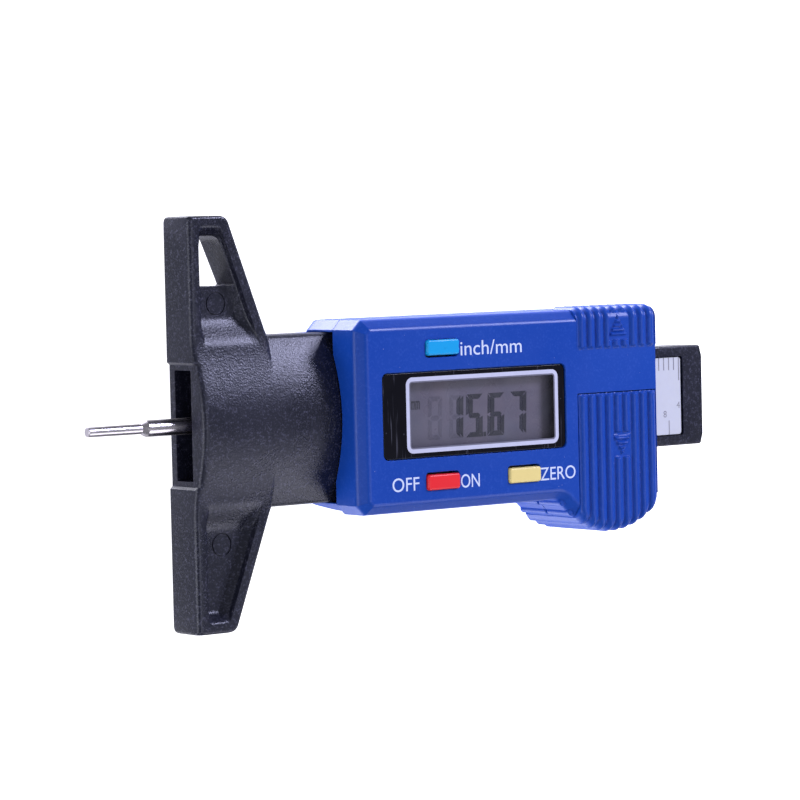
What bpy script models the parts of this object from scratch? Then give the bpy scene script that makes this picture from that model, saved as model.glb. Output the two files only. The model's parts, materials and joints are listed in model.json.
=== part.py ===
# Digital tire tread depth gauge, lying on its back: display up (+Z), probe towards -X, beam end towards +X.
# The origin is under the middle of the object's box at rest, on the surface it lies on.
# Lengths are written in millimetres and multiplied by mm where a mesh is made, so the model is in metres.
import math

import bmesh
import bpy
from mathutils import Vector

mm = 0.001

# measuring state at rest
reading = 15.67          # probe length past the measuring pads

# base: foot, neck and beam in one moulding
base_back = 1.35         # flat back of foot and neck
pad_face = -38.7         # measuring pads
foot_face = -38.3        # face around the slot, between the pads
pad_inner = 8.75         # inner edge of each pad, and where its step ends
pad_step = 8.4
foot_half = 28.85
wing_front = 7.4
wing_tip_length = 5.9    # length along X at the tips
wing_root_length = 12.4  # length along X where the wings meet the neck
recess_depth = 1.75
neck_half = 12.0
neck_crown = 9.45
neck_edge = 6.3
neck_end = 5.0
slot_half = 7.67
slot_low = 2.7
slot_high = 6.55
beam_half = 7.5
beam_low = 3.8
beam_high = 8.8
beam_end = 54.35
groove_half = 2.4
groove_high = 6.9
strip_pocket_floor = 7.8
strip_pocket_end = 50.45
strip_pocket_half = 5.98
strip_gap = 0.15         # round the strips in their pocket
strip_top = 8.33
label_low = 8.4
label_high = 8.58
arch_gap = 0.16          # between the neck and the arch in the housing
arch_half = 8.5
beam_gap = 0.3

# housing that slides on the base
house_left = -14.7
house_right = 41.05
house_half = 13.75
house_top = 13.8
parting = 7.8            # plane between the two shells
corner = 1.5             # chamfer of the outline's corners and of the front edge
back_round = 2.4
wall_front = 12.3        # inner side of the front wall
wall_back = 1.05         # inner side of the back wall
inner_half = 12.3
inner_left = -13.2
inner_right = 39.5
bulge_x = 32.2           # battery bulge: arc about this point
bulge_y = -5.9
bulge_radius = 12.7
bulge_fillet = 2.0       # hollow round where the bulge leaves the straight side
bulge_stop = 40.85
bulge_wall = 1.3
guide_half = 9.0         # outer side of the guides beside the beam

# battery cover
cover_left = 25.43
cover_right = 40.4
cover_top = 1.45
cover_plate = 12.9       # underside of the cover's front plate
cover_gap = 0.16
tongue_left = 29.0
tongue_right = 36.8
tongue_reach = 1.1
tongue_thick = 0.32

# ribs of the two finger grips
rib_count = 9
rib_height = 0.42
rib_width = 1.1
grip_low = 7.95          # lower end of the fixed upper grip

# display
window_x = 6.18
window_length = 33.75
window_width = 12.3
window_ledge = 12.75     # lens seat
lens_low = 12.9
lens_high = 13.6
lens_gap = 0.15
view_half_x = 15.9       # opening under the lens
view_half_y = 5.5
panel_half_x = 16.3
panel_half_y = 5.9
panel_low = 11.45
panel_high = 12.2
strip_y = 5.1            # conductive rubber strips, from board to panel
strip_half_x = 15.5
strip_half_y = 0.7
board_low = 9.75
board_high = 10.45
contact_gap = 0.1

# probe
rod_z = 4.7
rod_radius = 1.15
tip_radius = 0.7
tip_length = 9.6
rod_end = 33.6
clamp_left = 30.0
clamp_right = 34.6
clamp_x = 31.8           # grub screw
clamp_radius = 0.8

# battery, standing on its edge
cell_x = 32.4
cell_z = 6.95
cell_radius = 5.8
cell_step_radius = 4.6
cell_bottom = -15.15
cell_step = -10.5
cell_top = -9.72

# leaf spring that takes up the beam's play
gib_start = 20.0
gib_length = 15.0
gib_y = 7.88
gib_thick = 0.14

# keys: name, centre x, centre y
keys = (
    ("off_on", -0.2, -9.65),
    ("zero", 14.85, -9.6),
    ("unit", 0.12, 9.45),
)
key_length = 6.05
key_width = 2.05
key_top = 14.45
key_low = 12.0
key_flange_low = 11.65
key_side_gap = 0.2       # gap at the ends of a key, and along it
key_edge_gap = 0.3
dome_radius = 1.5
dome_top = 11.15

screw_places = ((21.8, 10.4), (37.4, 10.4), (21.8, -10.9))
boss_radius = 2.0
screw_hole = 1.0
screw_head = 1.75


def clear_scene():
    for item in list(bpy.data.objects):
        bpy.data.objects.remove(item, do_unlink=True)


def finish(name, color, roughness, metallic=0.0):
    made = bpy.data.materials.new(name)
    made.use_nodes = True
    shader = made.node_tree.nodes["Principled BSDF"]
    shader.inputs["Base Color"].default_value = (*color, 1.0)
    shader.inputs["Roughness"].default_value = roughness
    shader.inputs["Metallic"].default_value = metallic
    return made


# ---- mesh helpers: each returns a closed bmesh in metres ----

def outward(mesh):
    bmesh.ops.recalc_face_normals(mesh, faces=mesh.faces)
    if mesh.calc_volume(signed=True) < 0:
        bmesh.ops.reverse_faces(mesh, faces=mesh.faces)
    return mesh


def prism(points, low, high):
    mesh = bmesh.new()
    ring = [mesh.verts.new((x * mm, y * mm, low * mm)) for x, y in points]
    floor = mesh.faces.new(ring)
    rise = bmesh.ops.extrude_face_region(mesh, geom=[floor])
    tops = [item for item in rise["geom"] if isinstance(item, bmesh.types.BMVert)]
    bmesh.ops.translate(mesh, verts=tops, vec=(0, 0, (high - low) * mm))
    return outward(mesh)


def turn_axes(mesh, order):
    # order gives, for X, Y and Z, which of the prism's own axes is used
    for vert in mesh.verts:
        vert.co = Vector([vert.co[axis] for axis in order])
    return outward(mesh)


def prism_along_x(points_yz, start, stop):
    return turn_axes(prism(points_yz, start, stop), (2, 0, 1))


def box(x0, x1, y0, y1, z0, z1):
    return prism([(x0, y0), (x1, y0), (x1, y1), (x0, y1)], z0, z1)


def circle(x, y, radius, count=24):
    step = 2 * math.pi / count
    return [(x + radius * math.cos(i * step), y + radius * math.sin(i * step)) for i in range(count)]


def disc(x, y, radius, low, high, count=24):
    return prism(circle(x, y, radius, count), low, high)


def disc_along_y(x, z, radius, start, stop, count=32):
    return turn_axes(prism(circle(x, z, radius, count), start, stop), (0, 2, 1))


def rounded(points, radius, count=4):
    # outline with every corner rounded by an arc; radius is one value or one per corner
    radii = radius if isinstance(radius, (list, tuple)) else [radius] * len(points)
    outline = []
    for i, point in enumerate(points):
        here = Vector(point)
        before = (Vector(points[i - 1]) - here).normalized()
        after = (Vector(points[(i + 1) % len(points)]) - here).normalized()
        if radii[i] <= 0:
            outline.append(tuple(here))
            continue
        half = before.angle(after) / 2
        reach = radii[i] / math.tan(half)
        centre = here + (before + after).normalized() * radii[i] / math.sin(half)
        first = here + before * reach - centre
        last = here + after * reach - centre
        turn = first.angle_signed(last)
        for k in range(count + 1):
            angle = -turn * k / count
            spun = Vector((
                first.x * math.cos(angle) - first.y * math.sin(angle),
                first.x * math.sin(angle) + first.y * math.cos(angle),
            ))
            outline.append(tuple(centre + spun))
    return outline


def turned_along_x(profile, y, z, count=24):
    # profile: (x, radius) pairs from one end to the other
    mesh = bmesh.new()
    rings = []
    for x, radius in profile:
        ring = []
        for i in range(count):
            angle = 2 * math.pi * i / count
            spot = (x * mm, (y + radius * math.cos(angle)) * mm, (z + radius * math.sin(angle)) * mm)
            ring.append(mesh.verts.new(spot))
        rings.append(ring)
    for first, second in zip(rings, rings[1:]):
        for i in range(count):
            after = (i + 1) % count
            mesh.faces.new((first[i], first[after], second[after], second[i]))
    mesh.faces.new(rings[0])
    mesh.faces.new(rings[-1])
    return outward(mesh)


def bevel_plane(mesh, height, width, steps=1):
    # bevel the outer edges that lie in the plane z = height
    level = height * mm
    edges = [
        edge for edge in mesh.edges
        if all(abs(vert.co.z - level) < 1e-7 for vert in edge.verts)
    ]
    bmesh.ops.bevel(mesh, geom=edges, offset=width * mm, segments=steps, profile=0.5,
                    affect="EDGES", clamp_overlap=True)
    return mesh


# ---- objects ----

def solid(name, mesh, material):
    data = bpy.data.meshes.new(name)
    mesh.to_mesh(data)
    mesh.free()
    made = bpy.data.objects.new(name, data)
    made.data.materials.append(material)
    bpy.context.collection.objects.link(made)
    return made


def combine(body, tool_mesh, operation):
    # one exact Boolean, applied to the body's mesh
    tool = solid("tool", tool_mesh, body.data.materials[0])
    step = body.modifiers.new("step", "BOOLEAN")
    step.solver = "EXACT"
    step.operation = operation
    step.object = tool
    depsgraph = bpy.context.evaluated_depsgraph_get()
    depsgraph.update()
    result = bpy.data.meshes.new_from_object(body.evaluated_get(depsgraph))
    body.modifiers.clear()
    body.data = result
    body.data.name = body.name
    bpy.data.objects.remove(tool, do_unlink=True)


def cut(body, *tools):
    for tool in tools:
        combine(body, tool, "DIFFERENCE")


def add(body, *tools):
    for tool in tools:
        combine(body, tool, "UNION")


def keep(body, tool):
    combine(body, tool, "INTERSECT")


def smooth(body, angle=35):
    body.data.shade_smooth()
    body.data.set_sharp_from_angle(angle=math.radians(angle))


def place(body, parent, origin):
    # put the object's origin at a world point and hang it under its body's empty
    spot = Vector(origin) * mm
    for vert in body.data.vertices:
        vert.co -= spot
    body.parent = parent
    body.location = spot - Vector(parent["spot"])


def anchor(name, origin, parent=None):
    made = bpy.data.objects.new(name, None)
    bpy.context.collection.objects.link(made)
    spot = Vector(origin) * mm
    made["spot"] = tuple(spot)
    if parent is None:
        made.location = spot
    else:
        made.parent = parent
        made.location = spot - Vector(parent["spot"])
    return made


# ---- shared shapes ----

def crown(y, lift=0.0):
    # front height of the neck at a distance y from the middle
    return neck_crown + lift - (neck_crown - neck_edge) * (abs(y) / neck_half) ** 1.9


def arc(x, y, radius, start, stop, count):
    points = []
    for i in range(count + 1):
        angle = start + (stop - start) * i / count
        points.append((x + radius * math.cos(angle), y + radius * math.sin(angle)))
    return points


def bulge_edge(x, shrink=0.0):
    radius = bulge_radius - shrink
    return bulge_y - math.sqrt(radius ** 2 - (x - bulge_x) ** 2)


def house_outline(grow=0.0):
    left = house_left - grow
    right = house_right + grow
    half = house_half + grow
    hollow = bulge_fillet - grow
    # centre of the hollow round, which touches the straight side and the bulge
    drop = -half - hollow - bulge_y
    reach = bulge_radius + bulge_fillet
    hollow_x = bulge_x - math.sqrt(reach ** 2 - drop ** 2)
    meet = math.atan2(drop, hollow_x - bulge_x)
    leave = math.acos((bulge_stop - bulge_x) / bulge_radius)
    points = [(left, half - corner), (left, -half + corner), (left + corner, -half)]
    points += arc(hollow_x, -half - hollow, hollow, math.pi / 2, meet + math.pi, 4)
    points += arc(bulge_x, bulge_y, bulge_radius + grow, meet, -leave, 16)[1:]
    points += [(right, bulge_edge(bulge_stop) + corner), (right, half - corner), (right - corner, half)]
    points.append((left + corner, half))
    return points


def rib_bands():
    pitch = (cover_right - cover_left) / rib_count
    for i in range(rib_count):
        middle = cover_left + pitch * (i + 0.5)
        yield middle - rib_width / 2, middle + rib_width / 2


def rib_shell(low):
    # the housing's outer form grown by the rib height
    mesh = prism(house_outline(rib_height), low, house_top + rib_height)
    return bevel_plane(mesh, house_top + rib_height, corner, 2)


# ---- base body ----

def make_base_frame(material):
    tip = foot_face + wing_tip_length
    root = foot_face + wing_root_length
    side = [
        (root + 1.2, pad_step), (root, neck_half), (tip, foot_half), (pad_face, foot_half),
        (pad_face, pad_inner), (foot_face, pad_step),
    ]
    other = [(x, -y) for x, y in reversed(side)]
    radii = [0, 0, 1.6, 0.4, 0.1, 0, 0, 0.1, 0.4, 1.6, 0, 0]
    frame = solid("base_frame", prism(rounded(side + other, radii), base_back, wing_front), material)

    count = 16
    profile = [(-neck_half, base_back), (neck_half, base_back)]
    for i in range(count + 1):
        y = neck_half - 2 * neck_half * i / count
        profile.append((y, crown(y)))
    add(frame, prism_along_x(profile, foot_face, neck_end))

    ends = [
        (neck_end - 1, -beam_half), (beam_end - 0.45, -beam_half), (beam_end, -beam_half + 1.6),
        (beam_end, beam_half - 1.6), (beam_end - 0.45, beam_half), (neck_end - 1, beam_half),
    ]
    add(frame, prism(ends, beam_low, beam_high))

    cut(frame, box(foot_face - 1, neck_end + 0.02, -slot_half, slot_half, slot_low, slot_high))
    cut(frame, box(neck_end - 0.5, 52.0, -groove_half, groove_half, beam_low - 0.5, groove_high))
    pocket = [
        (neck_end + 0.3, -strip_pocket_half), (strip_pocket_end, -strip_pocket_half),
        (strip_pocket_end, strip_pocket_half), (neck_end + 0.3, strip_pocket_half),
    ]
    cut(frame, prism(rounded(pocket, [0, 1.2, 1.2, 0]), strip_pocket_floor, beam_high + 1))

    # shallow triangular recess in each wing, and the hanging hole in one of them
    for sign in (1, -1):
        recess = [(-36.8, 14.4), (-36.8, 27.2), (-34.0, 27.2), (-28.9, 14.4)]
        recess = [(x, sign * y) for x, y in recess]
        floor = wing_front - recess_depth
        cut(frame, prism(rounded(recess, [0.4, 1.0, 1.0, 0.4]), floor, wing_front + 1))
    hole = [(-36.8, 19.1), (-31.0, 19.1), (-33.6, 26.1), (-36.8, 26.1)]
    cut(frame, prism(rounded(hole, [0.25, 0.25, 1.3, 1.5]), base_back - 1, wing_front + 1))
    smooth(frame)
    return frame


def make_scale_strips(board, paper):
    start = neck_end + 0.5
    stop = strip_pocket_end - strip_gap
    half = strip_pocket_half - strip_gap
    outline = rounded([(start, -half), (stop, -half), (stop, half), (start, half)], [0, 1.05, 1.05, 0])
    stator = solid("stator_strip", prism(outline, strip_pocket_floor + 0.1, strip_top), board)
    label = solid("scale_label", prism(outline, label_low, label_high), paper)
    return stator, label


# ---- housing ----

def button_hole(x, y):
    # a little wider towards the display
    middle = y - math.copysign(key_side_gap / 2, y)
    length = key_length / 2 + key_side_gap
    width = key_width / 2 + key_edge_gap
    return box(x - length, x + length, middle - width, middle + width, wall_front - 0.6, house_top + 1)


def make_front_housing(material):
    outer = bevel_plane(prism(house_outline(), parting, house_top), house_top, corner)
    shell = solid("front_housing", outer, material)
    for low, high in rib_bands():
        rib = solid("rib", rib_shell(parting + 1.0), material)
        keep(rib, box(low, high, grip_low, house_half + 2, parting, house_top + 2))
        mesh = bmesh.new()
        mesh.from_mesh(rib.data)
        bpy.data.objects.remove(rib, do_unlink=True)
        add(shell, mesh)

    cut(shell, box(inner_left, inner_right, -inner_half, inner_half, parting - 1, wall_front))
    # shelf under the battery cover, and the wall beside the battery bay
    add(shell, box(25.0, inner_right + 0.2, -guide_half, cover_top + 1.8, wall_front - 0.4, wall_front + 0.2))
    add(shell, box(24.3, inner_right + 0.2, -guide_half, -8.1, parting + 0.05, wall_front + 0.1))

    # arch over the neck in the left wall
    count = 12
    arch = [(-arch_half, parting - 1), (arch_half, parting - 1)]
    for i in range(count + 1):
        y = arch_half - 2 * arch_half * i / count
        arch.append((y, crown(y, arch_gap)))
    cut(shell, prism_along_x(arch, house_left - 1, inner_left + 0.2))

    # way out for the beam in the right wall
    way = beam_half + beam_gap
    cut(shell, box(inner_right - 0.3, house_right + 1, -way, way, parting - 1, beam_high + beam_gap))

    # display window with a ledge under the lens
    half_x = window_length / 2
    half_y = window_width / 2
    window = [(-half_x, -half_y), (half_x, -half_y), (half_x, half_y), (-half_x, half_y)]
    window = [(x + window_x, y) for x, y in window]
    cut(shell, prism(rounded(window, 0.5, 3), window_ledge, house_top + 1))
    left = window_x - view_half_x
    right = window_x + view_half_x
    cut(shell, box(left, right, -view_half_y, view_half_y, wall_front - 0.5, house_top))

    for _, x, y in keys:
        cut(shell, button_hole(x, y))

    # seat of the battery cover, with the pocket for its tongue, and the battery bay below it
    left = cover_left - cover_gap
    right = cover_right + cover_gap
    cut(shell, box(left, right, -20, cover_top + cover_gap, cover_plate - 0.2, house_top + 2))
    slack = 0.3
    pocket_top = cover_top + tongue_reach + slack
    cut(shell, box(tongue_left - slack, tongue_right + slack, cover_top, pocket_top,
                   cover_plate - 0.2, cover_plate + tongue_thick + 0.18))
    cut(shell, box(left, right, -20, -guide_half, parting - 1, house_top + 2))

    for x, y in screw_places:
        add(shell, disc(x, y, boss_radius - 0.2, parting + 0.05, wall_front + 0.1, 20))
        cut(shell, disc(x, y, screw_hole - 0.05, parting - 1, wall_front - 0.6, 16))
    smooth(shell, 25)
    return shell


def make_rear_housing(material):
    outer = bevel_plane(prism(house_outline(), 0.0, parting - 0.12), 0.0, back_round, 3)
    shell = solid("rear_housing", outer, material)
    top = parting + 1
    cut(shell, box(house_left - 1, inner_right, -inner_half, inner_half, wall_back, top))
    cut(shell, box(cover_left - cover_gap, cover_right + cover_gap, -20, -guide_half, wall_back, top))
    way = beam_half + beam_gap
    cut(shell, box(inner_right - 0.3, house_right + 1, -way, way, beam_low - beam_gap, top))

    # side guides, and two ribs under the beam: low y, high y, top
    guides = (
        (way + 0.3, guide_half, beam_high - 1.3), (-guide_half, -way, beam_high - 1.3),
        (4.4, 5.6, beam_low - beam_gap), (-5.6, -4.4, beam_low - beam_gap),
    )
    for low, high, height in guides:
        add(shell, box(16, inner_right + 0.2, low, high, wall_back - 0.1, height))
    for x, y in screw_places:
        add(shell, disc(x, y, boss_radius, wall_back - 0.1, parting - 0.3, 20))
        cut(shell, disc(x, y, screw_hole, -1, parting + 1, 16))
        cut(shell, disc(x, y, screw_head, -1, 1.7, 20))
    smooth(shell, 25)
    return shell


def make_battery_cover(material):
    outer = bevel_plane(prism(house_outline(), wall_back + 0.2, house_top), house_top, corner, 2)
    cover = solid("battery_cover", outer, material)
    keep(cover, box(cover_left, cover_right, -20, cover_top, 0, house_top + 1))
    for low, high in rib_bands():
        rib = solid("rib", rib_shell(wall_back + 0.2), material)
        keep(rib, box(low, high, -20, cover_top - 0.05, 0, house_top + 2))
        mesh = bmesh.new()
        mesh.from_mesh(rib.data)
        bpy.data.objects.remove(rib, do_unlink=True)
        add(cover, mesh)
    hollow = [(cover_left - 1, cover_top + 1), (cover_right + 1, cover_top + 1)]
    count = 10
    for i in range(count + 1):
        x = cover_right + 1 - (cover_right - cover_left + 2) * i / count
        hollow.append((x, bulge_edge(x, bulge_wall)))
    cut(cover, prism(hollow, 0, cover_plate))
    add(cover, box(tongue_left, tongue_right, cover_top - 0.5, cover_top + tongue_reach,
                   cover_plate, cover_plate + tongue_thick))
    smooth(cover, 25)
    return cover


def make_lens(material):
    half_x = window_length / 2 - lens_gap
    half_y = window_width / 2 - lens_gap
    outline = [(-half_x, -half_y), (half_x, -half_y), (half_x, half_y), (-half_x, half_y)]
    outline = [(x + window_x, y) for x, y in outline]
    return solid("display_lens", prism(rounded(outline, 0.4, 3), lens_low, lens_high), material)


def make_display(glass, rubber):
    left = window_x - panel_half_x
    right = window_x + panel_half_x
    panel = box(left, right, -panel_half_y, panel_half_y, panel_low, panel_high)
    pieces = [solid("display_panel", panel, glass)]
    left = window_x - strip_half_x
    right = window_x + strip_half_x
    low = board_high + contact_gap
    high = panel_low - contact_gap
    for name, y in (("upper_zebra_strip", strip_y), ("lower_zebra_strip", -strip_y)):
        strip = box(left, right, y - strip_half_y, y + strip_half_y, low, high)
        pieces.append(solid(name, strip, rubber))
    return pieces


def make_circuit_board(material):
    outline = [
        (-12.4, -11.8), (19.3, -11.8), (19.3, -7.2), (38.2, -7.2),
        (38.2, 7.2), (19.3, 7.2), (19.3, 11.8), (-12.4, 11.8),
    ]
    return solid("circuit_board", prism(outline, board_low, board_high), material)


def make_chip_cover(material):
    # drop of resin over the chip
    high = 11.4
    mesh = bevel_plane(disc(29.0, 0, 3.0, board_high + contact_gap, high, 24), high, 0.5, 2)
    chip = solid("chip_cover", mesh, material)
    smooth(chip, 50)
    return chip


def make_key(name, x, y, material):
    length = key_length / 2
    width = key_width / 2
    cap = [(-length, -width), (length, -width), (length, width), (-length, width)]
    cap = [(x + px, y + py) for px, py in cap]
    mesh = bevel_plane(prism(rounded(cap, 0.35, 3), key_low, key_top), key_top, 0.2, 2)
    body = solid(name + "_button", mesh, material)
    length += 0.6
    width += 0.5
    add(body, box(x - length, x + length, y - width, y + width, key_flange_low, key_low + 0.1))
    smooth(body)
    return body


def make_dome_switch(name, x, y, material):
    mesh = bevel_plane(disc(x, y, dome_radius, board_high + contact_gap, dome_top, 20), dome_top, 0.3, 2)
    body = solid(name + "_dome_switch", mesh, material)
    smooth(body, 50)
    return body


def make_screw(index, x, y, material):
    # height and radius, from the head's face to the point
    profile = [(0.45, 1.2), (0.75, 1.5), (1.6, 1.5), (1.6, 0.8), (10.6, 0.8), (11.2, 0.35)]
    mesh = turn_axes(turned_along_x(profile, 0, 0, 16), (1, 2, 0))
    bmesh.ops.translate(mesh, verts=mesh.verts, vec=(x * mm, y * mm, 0))
    screw = solid("housing_screw_%d" % index, mesh, material)
    arm = 0.95
    slot = 0.17
    cut(screw, box(x - arm, x + arm, y - slot, y + slot, 0, 1.05))
    cut(screw, box(x - slot, x + slot, y - arm, y + arm, 0, 1.05))
    smooth(screw)
    return screw


def make_probe(material):
    tip = pad_face - reading
    profile = [
        (tip, tip_radius - 0.12), (tip + 0.12, tip_radius), (tip + tip_length, tip_radius),
        (tip + tip_length + 0.75, rod_radius), (rod_end - 0.3, rod_radius), (rod_end, rod_radius - 0.25),
    ]
    rod = solid("probe_rod", turned_along_x(profile, 0, rod_z, 24), material)
    smooth(rod, 25)
    return rod


def make_rod_clamp(brass, steel):
    block = solid("rod_clamp", box(clamp_left, clamp_right, -3.6, 3.6, wall_back + 0.15, 3.45), brass)
    add(block, box(clamp_left, clamp_right, -2.05, 2.05, 3.2, 6.5))
    bore = rod_radius + 0.08
    cut(block, turned_along_x([(clamp_left - 1, bore), (rod_end + 0.2, bore)], 0, rod_z, 24))
    cut(block, disc(clamp_x, 0, clamp_radius, 0, 4.0, 16))
    grub = solid("clamp_screw", disc(clamp_x, 0, clamp_radius - 0.1, wall_back + 0.25, 3.42, 16), steel)
    cut(grub, disc(clamp_x, 0, clamp_radius / 2.3, 0, 2.1, 6))
    smooth(grub)
    return block, grub


def make_gib_spring(material):
    count = 12
    front = []
    for i in range(count + 1):
        bow = gib_thick * math.sin(math.pi * i / count)
        front.append((gib_start + gib_length * i / count, gib_y - bow))
    back = [(x, y + gib_thick) for x, y in reversed(front)]
    spring = solid("gib_spring", prism(front + back, 4.3, 7.3), material)
    smooth(spring)
    return spring


def make_cell(material):
    mesh = disc_along_y(cell_x, cell_z, cell_radius, cell_bottom, cell_step + 0.55)
    cell = solid("button_cell", mesh, material)
    add(cell, disc_along_y(cell_x, cell_z, cell_step_radius, cell_step, cell_top))
    smooth(cell)
    return cell


def make_contacts(material):
    thick = 0.28
    low = cell_top + 0.22
    minus = solid("minus_contact", box(cell_x - 2, cell_x + 2, low, low + thick, 3.2, 10.6), material)
    left = cell_x - cell_radius - 0.9
    plus = solid("plus_contact", box(left, left + thick, -14.3, -10.8, 4.2, 9.7), material)
    return minus, plus


def build():
    clear_scene()
    black = finish("black_nylon", (0.03, 0.032, 0.045), 0.55)
    blue = finish("blue_shell", (0.02, 0.07, 0.45), 0.38)
    grip = finish("blue_cover", (0.02, 0.07, 0.47), 0.36)
    steel = finish("polished_steel", (0.72, 0.72, 0.72), 0.18, 1.0)
    zinc = finish("zinc_screw", (0.6, 0.6, 0.62), 0.3, 1.0)
    bronze = finish("spring_bronze", (0.72, 0.5, 0.25), 0.3, 1.0)
    brass = finish("clamp_brass", (0.75, 0.58, 0.25), 0.32, 1.0)
    nickel = finish("nickel_contact", (0.66, 0.64, 0.6), 0.25, 1.0)
    board = finish("board_green", (0.02, 0.16, 0.07), 0.45)
    paper = finish("label_white", (0.78, 0.79, 0.88), 0.5)
    lens = finish("lens_black", (0.02, 0.02, 0.03), 0.1)
    glass = finish("display_glass", (0.33, 0.31, 0.36), 0.15)
    rubber = finish("zebra_rubber", (0.55, 0.3, 0.35), 0.7)
    epoxy = finish("chip_epoxy", (0.01, 0.01, 0.01), 0.4)
    key_colors = {
        "off_on": finish("red_key", (0.83, 0.03, 0.04), 0.35),
        "zero": finish("yellow_key", (0.86, 0.72, 0.3), 0.35),
        "unit": finish("cyan_key", (0.03, 0.42, 0.86), 0.35),
    }

    base = anchor("base", (0, 0, 0))
    slider = anchor("slider", (house_left, 0, rod_z), base)
    cover_spot = ((cover_left + cover_right) / 2, cover_top, cover_plate)
    cover_way = anchor("cover_way", cover_spot, slider)

    for body in (make_base_frame(black), *make_scale_strips(board, paper)):
        place(body, base, (0, 0, 0))

    riding = [make_front_housing(blue), make_rear_housing(blue), make_lens(lens)]
    riding += make_display(glass, rubber)
    riding.append(make_circuit_board(board))
    riding.append(make_chip_cover(epoxy))
    riding += [make_probe(steel), *make_rod_clamp(brass, zinc), make_gib_spring(bronze)]
    riding += [make_cell(nickel), *make_contacts(bronze)]
    for index, (x, y) in enumerate(screw_places, 1):
        riding.append(make_screw(index, x, y, zinc))
    for name, x, y in keys:
        riding.append(make_dome_switch(name, x, y, steel))
    for body in riding:
        place(body, slider, (house_left, 0, rod_z))

    place(make_battery_cover(grip), cover_way, cover_spot)
    for name, x, y in keys:
        way = anchor(name + "_way", (x, y, key_top), slider)
        place(make_key(name, x, y, key_colors[name]), way, (x, y, key_top))


build()
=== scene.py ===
# Looks of the digital tire tread depth gauge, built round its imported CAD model.
# The gauge lies on its back: display up (+Z), probe towards -X, end of the beam towards +X.
# Sizes in the dictionaries are millimetres and degrees; mm turns them into metres where a mesh is made.
import json
import math

import bmesh
import bpy
from mathutils import Matrix, Vector

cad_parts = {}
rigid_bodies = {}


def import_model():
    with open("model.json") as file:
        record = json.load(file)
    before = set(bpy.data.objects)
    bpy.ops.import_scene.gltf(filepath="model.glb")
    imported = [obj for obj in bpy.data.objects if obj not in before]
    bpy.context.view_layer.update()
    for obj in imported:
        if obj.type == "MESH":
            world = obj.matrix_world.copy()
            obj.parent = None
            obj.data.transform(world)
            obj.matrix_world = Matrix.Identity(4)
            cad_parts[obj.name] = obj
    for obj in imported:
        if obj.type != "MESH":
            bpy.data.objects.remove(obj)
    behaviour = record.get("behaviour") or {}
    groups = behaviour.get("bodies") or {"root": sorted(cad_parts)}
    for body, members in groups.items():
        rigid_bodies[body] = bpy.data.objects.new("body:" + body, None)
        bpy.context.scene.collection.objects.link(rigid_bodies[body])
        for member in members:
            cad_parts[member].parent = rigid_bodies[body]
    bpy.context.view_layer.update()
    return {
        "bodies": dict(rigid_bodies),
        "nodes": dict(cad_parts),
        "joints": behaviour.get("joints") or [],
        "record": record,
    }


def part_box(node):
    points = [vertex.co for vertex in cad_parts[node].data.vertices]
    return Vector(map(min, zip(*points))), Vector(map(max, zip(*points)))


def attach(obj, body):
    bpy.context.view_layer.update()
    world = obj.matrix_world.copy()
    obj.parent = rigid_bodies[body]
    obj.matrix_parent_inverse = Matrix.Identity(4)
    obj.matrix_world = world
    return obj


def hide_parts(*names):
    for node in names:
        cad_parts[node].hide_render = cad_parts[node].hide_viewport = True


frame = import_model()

mm = 0.001
cadNodes = frame["nodes"]


def boxOf(node):
    # lowest and highest corner of a CAD node, in millimetres
    low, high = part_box(node)
    return low / mm, high / mm


# small maths
def smoothStep(start, stop, x):
    t = min(max((x - start) / (stop - start), 0.0), 1.0)
    return t * t * (3 - 2 * t)


def smoothMax(a, b, reach):
    overlap = max(reach - abs(a - b), 0.0) / reach
    return max(a, b) + overlap * overlap * reach / 4


def roundDrop(distance, radius):
    # how far a rounded edge lies below its face, at a distance inside the outline
    if distance >= radius:
        return 0.0
    inside = radius - max(distance, 0.0)
    return radius - math.sqrt(max(radius * radius - inside * inside, 0.0))


def arc(x, y, radius, start, stop, count):
    # angles in degrees
    points = []
    for i in range(count + 1):
        angle = math.radians(start + (stop - start) * i / count)
        points.append((x + radius * math.cos(angle), y + radius * math.sin(angle)))
    return points


def rectangle(x0, x1, y0, y1, radius=0.0, count=6):
    if radius <= 0:
        return [(x0, y0), (x1, y0), (x1, y1), (x0, y1)]
    corners = [(x1 - radius, y0 + radius, -90), (x1 - radius, y1 - radius, 0),
               (x0 + radius, y1 - radius, 90), (x0 + radius, y0 + radius, 180)]
    outline = []
    for x, y, start in corners:
        outline += arc(x, y, radius, start, start + 90, count)
    return outline


def around(x, y, halfLength, halfWidth, radius, grow=0.0):
    # a rounded rectangle about a centre
    return rectangle(x - halfLength - grow, x + halfLength + grow, y - halfWidth - grow, y + halfWidth + grow,
                     radius)


def roundedOutline(points, radii, count=6):
    # an outline with each corner turned into an arc of its own radius
    outline = []
    for i, point in enumerate(points):
        here = Vector(point)
        before = (Vector(points[i - 1]) - here).normalized()
        after = (Vector(points[(i + 1) % len(points)]) - here).normalized()
        if radii[i] <= 0:
            outline.append(tuple(here))
            continue
        half = before.angle(after) / 2
        centre = here + (before + after).normalized() * radii[i] / math.sin(half)
        first = here + before * radii[i] / math.tan(half) - centre
        turn = first.angle_signed(here + after * radii[i] / math.tan(half) - centre)
        for k in range(count + 1):
            outline.append(tuple(centre + Matrix.Rotation(-turn * k / count, 2) @ first))
    return outline


# meshes: each helper returns one closed bmesh in metres
def joinRings(mesh, first, second):
    # a band of faces between two rings of vertices
    for i in range(len(first)):
        after = (i + 1) % len(first)
        mesh.faces.new((first[i], first[after], second[after], second[i]))


def outward(mesh):
    bmesh.ops.recalc_face_normals(mesh, faces=mesh.faces)
    if mesh.calc_volume(signed=True) < 0:
        bmesh.ops.reverse_faces(mesh, faces=mesh.faces)
    return mesh


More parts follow.
